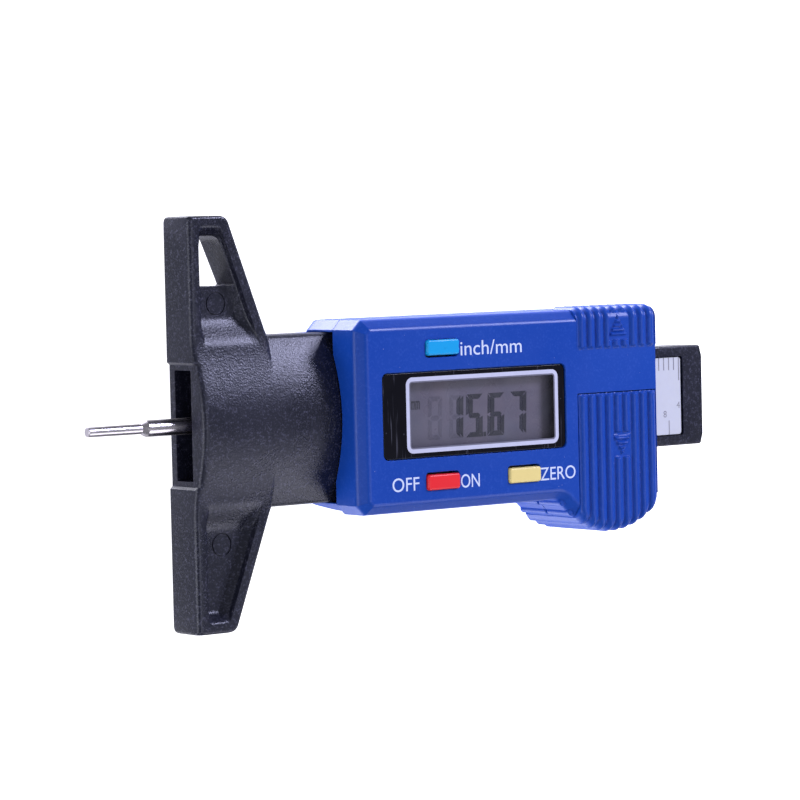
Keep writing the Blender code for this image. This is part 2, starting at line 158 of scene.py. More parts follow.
def taperedPrism(lowPoints, highPoints, low, high):
    mesh = bmesh.new()
    bottom = [mesh.verts.new((x * mm, y * mm, low * mm)) for x, y in lowPoints]
    top = [mesh.verts.new((x * mm, y * mm, high * mm)) for x, y in highPoints]
    mesh.faces.new(bottom)
    mesh.faces.new(top)
    joinRings(mesh, bottom, top)
    return outward(mesh)


def prism(points, low, high):
    return taperedPrism(points, points, low, high)


def prismAlongX(pointsYz, start, stop):
    mesh = prism(pointsYz, start, stop)
    for vert in mesh.verts:
        vert.co = Vector((vert.co.z, vert.co.x, vert.co.y))
    return outward(mesh)


def block(x0, x1, y0, y1, z0, z1):
    return prism(rectangle(x0, x1, y0, y1), z0, z1)


def disc(x, y, radius, low, high, count=48):
    return prism(arc(x, y, radius, 0, 360 - 360 / count, count - 1), low, high)


def turned(profile, count=64, ring=False):
    # profile of (radius, height) pairs about the Z axis; a ring's profile closes on itself
    mesh = bmesh.new()
    rings = []
    for radius, height in profile:
        circle = arc(0, 0, radius, 0, 360 - 360 / count, count - 1)
        rings.append([mesh.verts.new((x * mm, y * mm, height * mm)) for x, y in circle])
    for first, second in zip(rings, rings[1:]):
        joinRings(mesh, first, second)
    if ring:
        joinRings(mesh, rings[-1], rings[0])
    else:
        mesh.faces.new(rings[0])
        mesh.faces.new(rings[-1])
    return outward(mesh)


def slab(front, back, keepCell=None):
    # two grids of points, front and back, joined round their rim into one closed skin
    mesh = bmesh.new()
    made = {}
    rows = len(front) - 1
    columns = len(front[0]) - 1
    cells = {(j, i) for j in range(rows) for i in range(columns) if keepCell is None or keepCell(j, i)}

    def vert(grid, side, j, i):
        if (side, j, i) not in made:
            made[side, j, i] = mesh.verts.new(Vector(grid[j][i]) * mm)
        return made[side, j, i]

    for j, i in sorted(cells):
        corners = [(j, i), (j, i + 1), (j + 1, i + 1), (j + 1, i)]
        mesh.faces.new([vert(front, 1, *corner) for corner in corners])
        mesh.faces.new([vert(back, 0, *corner) for corner in reversed(corners)])
        for k, beside in enumerate([(j - 1, i), (j, i + 1), (j + 1, i), (j, i - 1)]):
            if beside not in cells:
                a, b = corners[k], corners[(k + 1) % 4]
                mesh.faces.new((vert(front, 1, *b), vert(front, 1, *a), vert(back, 0, *a), vert(back, 0, *b)))
    return outward(mesh)


def bevelEdges(mesh, edges, width, steps):
    bmesh.ops.bevel(mesh, geom=edges, offset=width * mm, segments=steps, profile=0.5,
                    affect="EDGES", clamp_overlap=True)
    return mesh


def softenEdges(mesh, width, steps, angle):
    # round every edge that turns by more than an angle
    edges = [e for e in mesh.edges if e.calc_face_angle(0) >= math.radians(angle)]
    return bevelEdges(mesh, edges, width, steps)


def bevelLevel(mesh, level, width, steps):
    # round the edges that lie in one level plane
    edges = [e for e in mesh.edges if all(abs(v.co.z - level * mm) < 1e-7 for v in e.verts)]
    return bevelEdges(mesh, edges, width, steps)


def moved(mesh, x, y, z):
    bmesh.ops.translate(mesh, verts=mesh.verts, vec=Vector((x, y, z)) * mm)
    return mesh


# pieces
def placeObject(name, data):
    placed = bpy.data.objects.new(name, data)
    bpy.context.scene.collection.objects.link(placed)
    return placed


def evaluatedMesh(source):
    depsgraph = bpy.context.evaluated_depsgraph_get()
    depsgraph.update()
    return bpy.data.meshes.new_from_object(source.evaluated_get(depsgraph))


def newPiece(name, mesh, material):
    data = bpy.data.meshes.new(name)
    mesh.to_mesh(data)
    mesh.free()
    data.materials.append(material)
    return placeObject(name, data)


def combine(piece, toolMesh, operation):
    tool = newPiece("tool", toolMesh, piece.data.materials[0])
    step = piece.modifiers.new("step", "BOOLEAN")
    step.solver = "EXACT"
    step.operation = operation
    step.object = tool
    result = evaluatedMesh(piece)
    piece.modifiers.clear()
    piece.data = result
    piece.data.name = piece.name
    bpy.data.objects.remove(tool, do_unlink=True)


def carve(piece, *tools):
    for tool in tools:
        combine(piece, tool, "DIFFERENCE")


def fuse(piece, *tools):
    for tool in tools:
        combine(piece, tool, "UNION")


def shade(piece, angle=30, weighted=True):
    piece.data.shade_smooth()
    piece.data.set_sharp_from_angle(angle=math.radians(angle))
    if weighted:
        even = piece.modifiers.new("evenShading", "WEIGHTED_NORMAL")
        even.keep_sharp = True


def settle(piece, body, slot, *nodes):
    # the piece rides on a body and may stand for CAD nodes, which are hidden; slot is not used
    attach(piece, body)
    if nodes:
        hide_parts(*nodes)
    return piece


print("frame loaded:", len(cadNodes), "CAD nodes")


# shader nodes
def addNode(tree, kind, **settings):
    # in_Name sets an input socket, any other keyword a property of the node
    node = tree.nodes.new(kind)
    for key, value in settings.items():
        if key.startswith("in_"):
            node.inputs[key[3:].replace("_", " ")].default_value = value
        else:
            setattr(node, key, value)
    return node


def remap(tree, source, low, high, toLow=0.0, toHigh=1.0):
    node = addNode(tree, "ShaderNodeMapRange", in_From_Min=low, in_From_Max=high,
                   in_To_Min=toLow, in_To_Max=toHigh)
    tree.links.new(source, node.inputs["Value"])
    return node.outputs["Result"]


def mathNode(tree, operation, a, b):
    # each of a and b is a socket or a number
    node = addNode(tree, "ShaderNodeMath", operation=operation)
    for socket, value in zip(node.inputs, (a, b)):
        if isinstance(value, (int, float)):
            socket.default_value = value
        else:
            tree.links.new(value, socket)
    return node.outputs[0]


# shader node groups, built once and used by several finishes
class Group:
    def __init__(self, name, inputs, outputs):
        self.tree = bpy.data.node_groups.new(name, "ShaderNodeTree")
        for socketName, kind, value in inputs:
            socket = self.tree.interface.new_socket(socketName, in_out="INPUT", socket_type=kind)
            socket.default_value = value
        for socketName, kind in outputs:
            self.tree.interface.new_socket(socketName, in_out="OUTPUT", socket_type=kind)
        self.given = self.tree.nodes.new("NodeGroupInput").outputs
        self.result = self.tree.nodes.new("NodeGroupOutput").inputs
        self.place = self.tree.nodes.new("ShaderNodeTexCoord").outputs["Object"]

    def add(self, kind, **settings):
        return addNode(self.tree, kind, **settings)

    def link(self, a, b):
        self.tree.links.new(a, b)

    def times(self, a, b):
        return mathNode(self.tree, "MULTIPLY", a, b)

    def texture(self, kind, scale, **settings):
        # a texture over the object's coordinates, its scale from another socket
        node = self.add(kind, **settings)
        self.link(self.place, node.inputs["Vector"])
        self.link(scale, node.inputs["Scale"])
        return node.outputs


def makeGrainGroup():
    # fine moulded grain: a bumped normal and the height it comes from
    group = Group("mouldGrain", [
        ("Scale", "NodeSocketFloat", 5000.0), ("Depth", "NodeSocketFloat", 0.3),
        ("Distance", "NodeSocketFloat", 0.00003), ("Coarse Share", "NodeSocketFloat", 0.4),
    ], [("Normal", "NodeSocketVector"), ("Height", "NodeSocketFloat")])
    given = group.given
    fine = group.texture("ShaderNodeTexNoise", given["Scale"], in_Detail=2.0, in_Roughness=0.6)
    coarse = group.texture("ShaderNodeTexNoise", group.times(given["Scale"], 0.37), in_Detail=1.0)
    share = group.times(coarse["Fac"], given["Coarse Share"])
    height = mathNode(group.tree, "ADD", fine["Fac"], share)
    bump = group.add("ShaderNodeBump")
    group.link(given["Depth"], bump.inputs["Strength"])
    group.link(given["Distance"], bump.inputs["Distance"])
    group.link(height, bump.inputs["Height"])
    group.link(bump.outputs["Normal"], group.result["Normal"])
    group.link(height, group.result["Height"])
    return group.tree


def makeRubAndHighlightGroup():
    # mask of rubbed outer edges, broken up by noise; the pale colour it lets in is partly real rubbing and
    # partly a painted edge highlight
    group = Group("rubbedEdgeHighlight", [
        ("Radius", "NodeSocketFloat", 0.0003), ("Amount", "NodeSocketFloat", 0.5),
        ("Breakup Scale", "NodeSocketFloat", 900.0),
    ], [("Mask", "NodeSocketFloat")])
    edge = group.add("ShaderNodeBevel", samples=4)
    group.link(group.given["Radius"], edge.inputs["Radius"])
    flat = group.add("ShaderNodeNewGeometry")
    along = group.add("ShaderNodeVectorMath", operation="DOT_PRODUCT")
    group.link(edge.outputs["Normal"], along.inputs[0])
    group.link(flat.outputs["Normal"], along.inputs[1])
    turn = remap(group.tree, along.outputs["Value"], 0.99, 0.8)
    noise = group.texture("ShaderNodeTexNoise", group.given["Breakup Scale"], in_Detail=3.0)
    broken = group.times(turn, remap(group.tree, noise["Fac"], 0.35, 0.65))
    group.link(group.times(broken, group.given["Amount"]), group.result["Mask"])
    return group.tree


def makeDustGroup():
    # sparse pale specks and faint wiped smears
    group = Group("dustAndSmears", [
        ("Speck Scale", "NodeSocketFloat", 900.0), ("Speck Size", "NodeSocketFloat", 0.1),
        ("Smear Scale", "NodeSocketFloat", 60.0),
    ], [("Specks", "NodeSocketFloat"), ("Smears", "NodeSocketFloat")])
    cells = group.texture("ShaderNodeTexVoronoi", group.given["Speck Scale"])
    rare = remap(group.tree, cells["Color"], 0.62, 0.66)
    size = mathNode(group.tree, "LESS_THAN", cells["Distance"], group.given["Speck Size"])
    group.link(group.times(rare, size), group.result["Specks"])
    smear = group.texture("ShaderNodeTexNoise", group.given["Smear Scale"], in_Detail=4.0, in_Distortion=1.2)
    group.link(remap(group.tree, smear["Fac"], 0.4, 0.7), group.result["Smears"])
    return group.tree


def makeDriftGroup():
    # slow change between two shades of one colour
    group = Group("colourDrift", [
        ("First", "NodeSocketColor", (1, 1, 1, 1)), ("Second", "NodeSocketColor", (1, 1, 1, 1)),
        ("Scale", "NodeSocketFloat", 80.0),
    ], [("Color", "NodeSocketColor"), ("Mask", "NodeSocketFloat")])
    noise = group.texture("ShaderNodeTexNoise", group.given["Scale"], in_Detail=3.0)
    mask = remap(group.tree, noise["Fac"], 0.3, 0.7)
    mix = group.add("ShaderNodeMix", data_type="RGBA")
    group.link(mask, mix.inputs["Factor"])
    group.link(group.given["First"], mix.inputs[6])
    group.link(group.given["Second"], mix.inputs[7])
    group.link(mix.outputs[2], group.result["Color"])
    group.link(mask, group.result["Mask"])
    return group.tree


def makeBrushGroup():
    # fine lines left by turning, drawing or brushing metal, along a stretched direction
    group = Group("toolLines", [
        ("Stretch", "NodeSocketVector", (1.0, 1.0, 1.0)), ("Scale", "NodeSocketFloat", 3000.0),
        ("Depth", "NodeSocketFloat", 0.2),
    ], [("Normal", "NodeSocketVector"), ("Lines", "NodeSocketFloat")])
    stretch = group.add("ShaderNodeVectorMath", operation="MULTIPLY")
    group.link(group.place, stretch.inputs[0])
    group.link(group.given["Stretch"], stretch.inputs[1])
    noise = group.add("ShaderNodeTexNoise", in_Detail=3.0, in_Roughness=0.65)
    group.link(stretch.outputs["Vector"], noise.inputs["Vector"])
    group.link(group.given["Scale"], noise.inputs["Scale"])
    bump = group.add("ShaderNodeBump", in_Distance=0.00001)
    group.link(group.given["Depth"], bump.inputs["Strength"])
    group.link(noise.outputs["Fac"], bump.inputs["Height"])
    group.link(bump.outputs["Normal"], group.result["Normal"])
    group.link(noise.outputs["Fac"], group.result["Lines"])
    return group.tree


grainGroup = makeGrainGroup()
rubAndHighlightGroup = makeRubAndHighlightGroup()
dustGroup = makeDustGroup()
driftGroup = makeDriftGroup()
brushGroup = makeBrushGroup()
print("node groups ready")


# finishes
class Finish:
    def __init__(self, name, **sockets):
        self.material = bpy.data.materials.new(name)
        self.material.use_nodes = True
        self.tree = self.material.node_tree
        self.shader = self.tree.nodes["Principled BSDF"]
        for key, value in sockets.items():
            self.shader.inputs[key.replace("_", " ")].default_value = value

    def group(self, tree, **values):
        node = self.tree.nodes.new("ShaderNodeGroup")
        node.node_tree = tree
        for key, value in values.items():
            node.inputs[key.replace("_", " ")].default_value = value
        return node

    def link(self, a, b):
        self.tree.links.new(a, b)

    def feed(self, output, socket):
        self.tree.links.new(output, self.shader.inputs[socket])

    def feedRoughness(self, mask, low, high):
        # from low where the mask is 0 to high where it is 1
        self.feed(remap(self.tree, mask, 0, 1, low, high), "Roughness")

    def mix(self, mask, first, second):
        # blend of two colours; each is a socket or a colour
        node = addNode(self.tree, "ShaderNodeMix", data_type="RGBA")
        self.link(mask, node.inputs["Factor"])
        for index, value in ((6, first), (7, second)):
            if isinstance(value, tuple):
                node.inputs[index].default_value = value
            else:
                self.link(value, node.inputs[index])
        return node.outputs[2]


def mouldedPlastic(name, look):
    # satin moulded plastic: grain, drift of shade, painted glints on the grain, rubbed edges that also carry
    # a painted edge highlight, specks and smears
    finish = Finish(name, IOR=look["ior"], Specular_IOR_Level=look["specular"],
                    Specular_Tint=(*look["tint"], 1))
    drift = finish.group(driftGroup, First=(*look["color"], 1), Second=(*look["shade"], 1),
                         Scale=look["driftScale"])
    rubAndHighlight = finish.group(rubAndHighlightGroup, Radius=look["rubAndHighlightRadius"], Amount=look["rubAndHighlight"])
    dust = finish.group(dustGroup, Speck_Scale=look["speckScale"], Speck_Size=look["speckSize"])
    grain = finish.group(grainGroup, Scale=look["grainScale"], Depth=look["grainDepth"],
                         Distance=look["grainDistance"])
    # painted glint: pale base colour on the peaks of the grain stands in for sparkles of reflected light
    paintedGlint = remap(finish.tree, grain.outputs["Height"], look["glintFrom"], look["glintTo"],
                     0.0, look["glint"])
    color = finish.mix(paintedGlint, drift.outputs["Color"], (*look["pale"], 1))
    # pale rubbed edges: partly real rubbing, partly painted edge highlight
    color = finish.mix(rubAndHighlight.outputs["Mask"], color, (*look["pale"], 1))
    specks = mathNode(finish.tree, "MULTIPLY", dust.outputs["Specks"], look["speckShow"])
    color = finish.mix(specks, color, (*look["dust"], 1))
    finish.feed(color, "Base Color")
    finish.feedRoughness(dust.outputs["Smears"], look["rough"], look["rough"] + 0.08)
    finish.feed(grain.outputs["Normal"], "Normal")
    return finish.material


def toolMarkedMetal(name, color, rough, stretch, depth=0.2):
    # bare metal: tool lines along a stretched direction, duller where they and smears meet
    finish = Finish(name, Metallic=1.0)
    dull = tuple(c * 0.72 for c in color)
    lines = finish.group(brushGroup, Stretch=stretch, Depth=depth)
    smears = finish.group(dustGroup, Smear_Scale=240.0)
    tone = mathNode(finish.tree, "MULTIPLY", lines.outputs["Lines"], smears.outputs["Smears"])
    finish.feed(finish.mix(tone, (*color, 1), (*dull, 1)), "Base Color")
    finish.feed(remap(finish.tree, lines.outputs["Lines"], 0.3, 0.7, rough, rough + 0.12), "Roughness")
    finish.feed(lines.outputs["Normal"], "Normal")
    return finish.material


# pale is the colour of the painted glints and of the rubbed edges with their painted highlight; glint sets
# how strong the painted glints are
nylonLook = {
    "color": (0.006, 0.007, 0.015), "shade": (0.009, 0.010, 0.021), "driftScale": 90.0,
    "pale": (0.13, 0.13, 0.21), "dust": (0.25, 0.25, 0.3), "glint": 0.34, "glintFrom": 0.72, "glintTo": 0.93,
    "ior": 1.5, "specular": 0.42, "tint": (0.82, 0.84, 1.0), "rough": 0.25,
    "grainScale": 3700.0, "grainDepth": 1.0, "grainDistance": 0.00005,
    "rubAndHighlightRadius": 0.00025, "rubAndHighlight": 0.16, "speckScale": 900.0, "speckSize": 0.06, "speckShow": 0.35,
}
blueLook = {
    "color": (0.004, 0.049, 0.36), "shade": (0.007, 0.056, 0.38), "driftScale": 60.0,
    "pale": (0.07, 0.16, 0.68), "dust": (0.4, 0.45, 0.7), "glint": 0.12, "glintFrom": 0.7, "glintTo": 0.95,
    "ior": 1.5, "specular": 0.26, "tint": (0.9, 0.92, 1.0), "rough": 0.3,
    "grainScale": 2600.0, "grainDepth": 0.3, "grainDistance": 0.00003,
    "rubAndHighlightRadius": 0.0002, "rubAndHighlight": 0.35, "speckScale": 700.0, "speckSize": 0.05, "speckShow": 0.35,
}


def keyLook(color):
    pale = tuple(min(1.0, c * 1.15 + 0.04) for c in color)
    return dict(blueLook, color=color, shade=tuple(c * 0.93 for c in color), pale=pale, dust=pale,
                glint=0.05, rough=0.3, grainDepth=0.12, speckShow=0.2)


blackNylon = mouldedPlastic("blackNylon", nylonLook)
blueShell = mouldedPlastic("blueShell", blueLook)
redKey = mouldedPlastic("redKey", keyLook((0.79, 0.024, 0.034)))
yellowKey = mouldedPlastic("yellowKey", keyLook((0.80, 0.66, 0.27)))
cyanKey = mouldedPlastic("cyanKey", keyLook((0.006, 0.34, 0.76)))
polishedSteel = toolMarkedMetal("polishedSteel", (0.56, 0.53, 0.58), 0.2, (0.05, 1, 1), 0.12)
zincPlate = toolMarkedMetal("zincPlate", (0.62, 0.63, 0.66), 0.26, (1, 1, 0.1))
springBronze = toolMarkedMetal("springBronze", (0.75, 0.50, 0.24), 0.26, (0.1, 1, 1))
clampBrass = toolMarkedMetal("clampBrass", (0.78, 0.60, 0.27), 0.28, (1, 0.1, 1))
nickelCan = toolMarkedMetal("nickelCan", (0.68, 0.66, 0.62), 0.22, (1, 0.08, 1))


def printedInk(name, color, rough, pale=None):
    # screen-printed ink: slightly uneven in shade and sheen
    finish = Finish(name)
    drift = finish.group(driftGroup, First=(*color, 1), Second=(*(pale or [c * 0.9 for c in color]), 1),
                         Scale=700.0)
    grain = finish.group(grainGroup, Scale=6000.0, Depth=0.12, Distance=0.00001)
    finish.feed(drift.outputs["Color"], "Base Color")
    finish.feedRoughness(drift.outputs["Mask"], rough, rough + 0.1)
    finish.feed(grain.outputs["Normal"], "Normal")
    return finish.material


legendInk = printedInk("legendInk", (0.62, 0.70, 0.96), 0.45)
frameInk = printedInk("frameInk", (0.54, 0.56, 0.76), 0.4)
thinInk = printedInk("thinInk", (0.14, 0.14, 0.21), 0.4)
scaleInk = printedInk("scaleInk", (0.20, 0.20, 0.25), 0.6, (0.30, 0.30, 0.36))
labelFilm = printedInk("labelFilm", (0.60, 0.62, 0.71), 0.38, (0.57, 0.59, 0.68))


def makeBezelInk():
    # glossy black behind clear acrylic, with hairline scratches
    look = {"color": (0.0015, 0.0015, 0.005), "scratch": (0.07, 0.07, 0.10), "angle": 12}
    finish = Finish("bezelBlack", Specular_IOR_Level=0.22)
    place = addNode(finish.tree, "ShaderNodeTexCoord")
    turn = addNode(finish.tree, "ShaderNodeMapping")
    turn.inputs["Rotation"].default_value = (0, 0, math.radians(look["angle"]))
    turn.inputs["Scale"].default_value = (1.0, 0.03, 1.0)
    finish.link(place.outputs["Object"], turn.inputs["Vector"])
    hair = addNode(finish.tree, "ShaderNodeTexNoise", in_Scale=4000.0, in_Detail=1.0)
    finish.link(turn.outputs["Vector"], hair.inputs["Vector"])
    smears = finish.group(dustGroup, Smear_Scale=180.0, Speck_Scale=900.0, Speck_Size=0.12)
    scratch = mathNode(finish.tree, "MULTIPLY", remap(finish.tree, hair.outputs["Fac"], 0.66, 0.72),
                       smears.outputs["Smears"])
    specks = mathNode(finish.tree, "MULTIPLY", smears.outputs["Specks"], 0.4)
    dusty = mathNode(finish.tree, "MAXIMUM", scratch, specks)
    finish.feed(finish.mix(dusty, (*look["color"], 1), (*look["scratch"], 1)), "Base Color")
    finish.feedRoughness(smears.outputs["Smears"], 0.16, 0.26)
    return finish.material


def makeLcdGlass():
    # grey reflective display: cloudy tint, darker towards the edge that its frame shades
    look = {"color": (0.128, 0.112, 0.160), "cloud": (0.092, 0.096, 0.150), "shade": (0.010, 0.010, 0.03),
            "shadeStart": 18.2, "shadeStop": 21.8}
    finish = Finish("lcdGlass")
    drift = finish.group(driftGroup, First=(*look["color"], 1), Second=(*look["cloud"], 1), Scale=140.0)
    place = addNode(finish.tree, "ShaderNodeTexCoord")
    split = addNode(finish.tree, "ShaderNodeSeparateXYZ")
    finish.link(place.outputs["Object"], split.inputs["Vector"])
    edge = remap(finish.tree, split.outputs["X"], look["shadeStart"] * mm, look["shadeStop"] * mm)
    soft = mathNode(finish.tree, "POWER", edge, 1.6)
    finish.feed(finish.mix(soft, drift.outputs["Color"], (*look["shade"], 1)), "Base Color")
    finish.feedRoughness(drift.outputs["Mask"], 0.24, 0.34)
    return finish.material


def makeClearAcrylic():
    # the window's clear pane: almost nothing but its gloss and faint smears
    look = {"clean": (0.15, 0.15, 0.17), "smeared": (0.4, 0.4, 0.44)}
    finish = Finish("clearAcrylic", Alpha=0.05, IOR=1.49)
    smears = finish.group(dustGroup, Smear_Scale=160.0).outputs["Smears"]
    finish.feed(finish.mix(smears, (*look["clean"], 1), (*look["smeared"], 1)), "Base Color")
    finish.feedRoughness(smears, 0.05, 0.16)
    return finish.material


def makeSegmentInk(name, color, alpha):
    # a display segment; a low alpha makes a resting segment or the shadow of a lit one
    finish = Finish(name, Alpha=alpha)
    drift = finish.group(driftGroup, First=(*color, 1), Second=(*[c * 1.3 for c in color], 1), Scale=500.0)
    finish.feed(drift.outputs["Color"], "Base Color")
    finish.feedRoughness(drift.outputs["Mask"], 0.35, 0.45)
    return finish.material


bezelBlack = makeBezelInk()
lcdGlass = makeLcdGlass()
clearAcrylic = makeClearAcrylic()
litSegment = makeSegmentInk("litSegment", (0.008, 0.009, 0.022), 0.96)
shadowSegment = makeSegmentInk("shadowSegment", (0.015, 0.018, 0.04), 0.45)
restingSegment = makeSegmentInk("restingSegment", (0.045, 0.05, 0.09), 0.07)
solderMask = mouldedPlastic("solderMask", dict(
    blueLook, color=(0.015, 0.12, 0.05), shade=(0.02, 0.16, 0.07), pale=(0.1, 0.3, 0.16)))
rubberStrip = mouldedPlastic("rubberStrip", dict(
    nylonLook, color=(0.35, 0.18, 0.20), shade=(0.28, 0.14, 0.17), pale=(0.5, 0.35, 0.35), rough=0.6))
chipEpoxy = mouldedPlastic("chipEpoxy", dict(nylonLook, rough=0.22, grainDepth=0.1))
print("finishes ready")


# camera and stage
studio = {
    "cameraPlace": (-0.33585, 0.02970, 0.43390), "cameraTurn": (-1.9007, -38.0562, -1.6870),
    "lens": 170.775, "sensor": 36.0,
    "floorSize": 6.0, "floorDrop": 0.0002,  # metres
    "floorLight": 1.03, "floorFill": 0.30, "floorGloss": 0.05,  # as seen by camera, diffuse and other rays
    "worldColor": (0.93, 0.94, 1.0), "worldLight": 0.31, "worldSeen": 1.15,
}
lamps = {
    # name: place, size, power in watts, colour; each faces the gauge
    "upperRightSoftbox": ((0.366, 0.322, 0.35), 0.17, 3.1, (0.78, 0.78, 1.0)),
    "frontSoftbox": ((0.05, -0.10, 0.75), 0.45, 1.1, (0.97, 0.97, 1.0)),
    "lowerSoftbox": ((0.36, -0.34, 0.33), 0.30, 0.9, (0.95, 0.93, 1.0)),
    "leftFill": ((-0.55, -0.12, 0.12), 0.40, 1.8, (1.0, 1.0, 1.0)),
    "upperGlow": ((-0.02, 0.42, -0.42), 0.30, 8.8, (0.94, 0.94, 1.0)),
    "lowerGlow": ((-0.10, -0.37, -0.44), 0.40, 5.2, (0.94, 0.94, 1.0)),
    "sideGlow": ((0.34, 0.03, -0.42), 0.22, 5.0, (1.0, 1.0, 1.0)),
}


def buildStage():
    scene = bpy.context.scene
    camera = placeObject("camera", bpy.data.cameras.new("camera"))
    camera.data.lens = studio["lens"]
    camera.data.sensor_width = studio["sensor"]
    camera.data.clip_start = 0.01
    camera.location = studio["cameraPlace"]
    camera.rotation_euler = [math.radians(angle) for angle in studio["cameraTurn"]]
    scene.camera = camera
    scene.view_settings.view_transform = "Standard"

    world = bpy.data.worlds.new("softRoom")
    world.use_nodes = True
    scene.world = world
    rays = world.node_tree.nodes.new("ShaderNodeLightPath")
    back = world.node_tree.nodes["Background"]
    back.inputs["Color"].default_value = (*studio["worldColor"], 1)
    strength = remap(world.node_tree, rays.outputs["Is Camera Ray"], 0, 1,
                     studio["worldLight"], studio["worldSeen"])
    world.node_tree.links.new(strength, back.inputs["Strength"])

    paper = Finish("paleFloor", Base_Color=(0.8, 0.8, 0.8, 1), Roughness=0.9, Emission_Color=(1, 1, 1, 1))
    rays = addNode(paper.tree, "ShaderNodeLightPath")
    light = studio["floorGloss"]
    for ray, strength in (("Is Camera Ray", studio["floorLight"]), ("Is Diffuse Ray", studio["floorFill"])):
        extra = mathNode(paper.tree, "MULTIPLY", rays.outputs[ray], strength - studio["floorGloss"])
        light = mathNode(paper.tree, "ADD", extra, light)
    paper.feed(light, "Emission Strength")
    half = studio["floorSize"] / 2
    sheet = bmesh.new()
    corners = [sheet.verts.new((x * half, y * half, 0)) for x, y in ((-1, -1), (1, -1), (1, 1), (-1, 1))]
    sheet.faces.new(corners)
    floor = newPiece("floor", sheet, paper.material)
    floor.location.z = -studio["floorDrop"]
    floor.visible_shadow = False  # lets the glow lamps below it reach the slanted sides

    for name, (place, size, power, color) in lamps.items():
        lamp = bpy.data.lights.new(name, "AREA")
        lamp.shape = "SQUARE"
        lamp.size = size
        lamp.energy = power
        lamp.color = color
        holder = placeObject(name, lamp)
        holder.location = place
        holder.rotation_euler = (-Vector(place)).to_track_quat("-Z", "Y").to_euler()


buildStage()
print("stage ready")


# base casting: foot with two wings, crowned neck and beam in one black moulding
casting = {
    "backZ": 1.35, "wingZ": 7.4, "padX": -38.7, "faceX": -38.3, "padStep": (8.4, 8.75),
    "tipY": 28.85, "rootX": -25.55, "tipX": -31.95, "neckY": 12.0, "tipRadius": 1.6, "padCorner": 0.4,
    "crownTop": 9.45, "crownEdge": 6.3, "crownPower": 1.9, "neckEnd": 5.0, "blend": 1.5,
    "padRound": 0.8, "rimRound": 0.75, "tipRound": 0.45, "backTipRound": 1.0, "backRound": 0.2,
    "neckRound": 0.5, "rootSlope": 2.5,
    "recessDepth": 1.75, "recessLeft": 1.75, "recessRight": 1.85, "recessLow": 10.6, "recessHigh": 27.5,
    "rampLeft": 0.9, "rampLow": 4.2, "rampHigh": 1.7, "rampRight": (0.15, 1.15),
    "lip": 0.2, "lipShare": 0.45,
    "slotY": 7.67, "slotZ": (2.7, 6.55),
    "hole": ((-37.0, 19.1), (-30.6, 19.1), (-33.3, 26.1), (-37.0, 26.1)),
    "holeRadii": (0.25, 0.25, 1.3, 1.5), "holeDraft": 0.9,
    "ejector": (-33.2, 16.7), "ejectorRadius": 1.55, "ejectorGroove": 0.12, "ejectorDepth": 0.16,
    "beamY": 7.5, "beamZ": (3.8, 8.8), "beamEnd": 54.6, "beamCut": (0.45, 1.6), "beamSoft": 0.28,
    "grooveY": 2.4, "grooveZ": 6.9, "grooveEnd": 52.0,
    "pocketY": 5.98, "pocketEnd": 50.6, "pocketZ": 7.8, "pocketRound": 0.5,
}


def crownAt(y):
    drop = casting["crownTop"] - casting["crownEdge"]
    return casting["crownTop"] - drop * (abs(y) / casting["neckY"]) ** casting["crownPower"]


def castingLeft(y):
    start, stop = casting["padStep"]
    t = min(max((abs(y) - start) / (stop - start), 0.0), 1.0)
    x = casting["faceX"] + (casting["padX"] - casting["faceX"]) * t
    over = abs(y) - (casting["tipY"] - casting["padCorner"])
    return x + roundDrop(casting["padCorner"] - over, casting["padCorner"]) if over > 0 else x


def castingRight(y):
    # slanted side of a wing, rounded into the tip
    slope = (casting["tipX"] - casting["rootX"]) / (casting["tipY"] - casting["neckY"])
    x = casting["rootX"] + slope * (abs(y) - casting["neckY"])
    radius = casting["tipRadius"]
    tilt = math.atan(-slope)
    centreY = casting["tipY"] - radius
    centreX = casting["rootX"] + slope * (centreY - casting["neckY"]) - radius / math.cos(tilt)
    if abs(y) > centreY + radius * math.sin(tilt):
        return centreX + math.sqrt(max(radius ** 2 - (abs(y) - centreY) ** 2, 0.0))
    return x


def recessShare(x, y):
    # 0 on the rim of a wing's recess, 1 on its floor
    left = x - castingLeft(y) - casting["recessLeft"]
    right = castingRight(y) - x - casting["recessRight"]
    start, width = casting["rampRight"]
    ramp = min(max((right - start) / width, 0.0), 1.0)
    lip = casting["lipShare"]
    side = lip * smoothStep(0, casting["lip"], right) + (1 - lip) * ramp
    ends = smoothStep(0, casting["rampLow"], abs(y) - casting["recessLow"])
    ends *= smoothStep(0, casting["rampHigh"], casting["recessHigh"] - abs(y))
    return smoothStep(0, casting["rampLeft"], left) * side * ends


def castingFront(x, y):
    # height of the front: wing with its recess, blended into the crowned neck
    wing = casting["wingZ"] - casting["recessDepth"] * recessShare(x, y)
    neck = crownAt(y)
    if abs(y) <= casting["neckY"]:
        beyond = x - casting["rootX"]
        wing -= casting["rootSlope"] * max(beyond + 0.3, 0.0)
        neck -= roundDrop(casting["neckY"] - abs(y), casting["neckRound"]) * smoothStep(-0.6, 0.2, beyond)
    else:
        wing -= roundDrop(castingRight(y) - x, casting["rimRound"])
    wing -= roundDrop(casting["tipY"] - abs(y), casting["tipRound"])
    return smoothMax(wing, neck, casting["blend"]) - roundDrop(x - castingLeft(y), casting["padRound"])


def castingBack(x, y, onNeck):
    lift = roundDrop(casting["tipY"] - abs(y), casting["backTipRound"])
    lift += roundDrop(x - castingLeft(y), casting["backRound"])
    if not onNeck:
        lift += roundDrop(castingRight(y) - x, casting["backRound"])
    return casting["backZ"] + lift


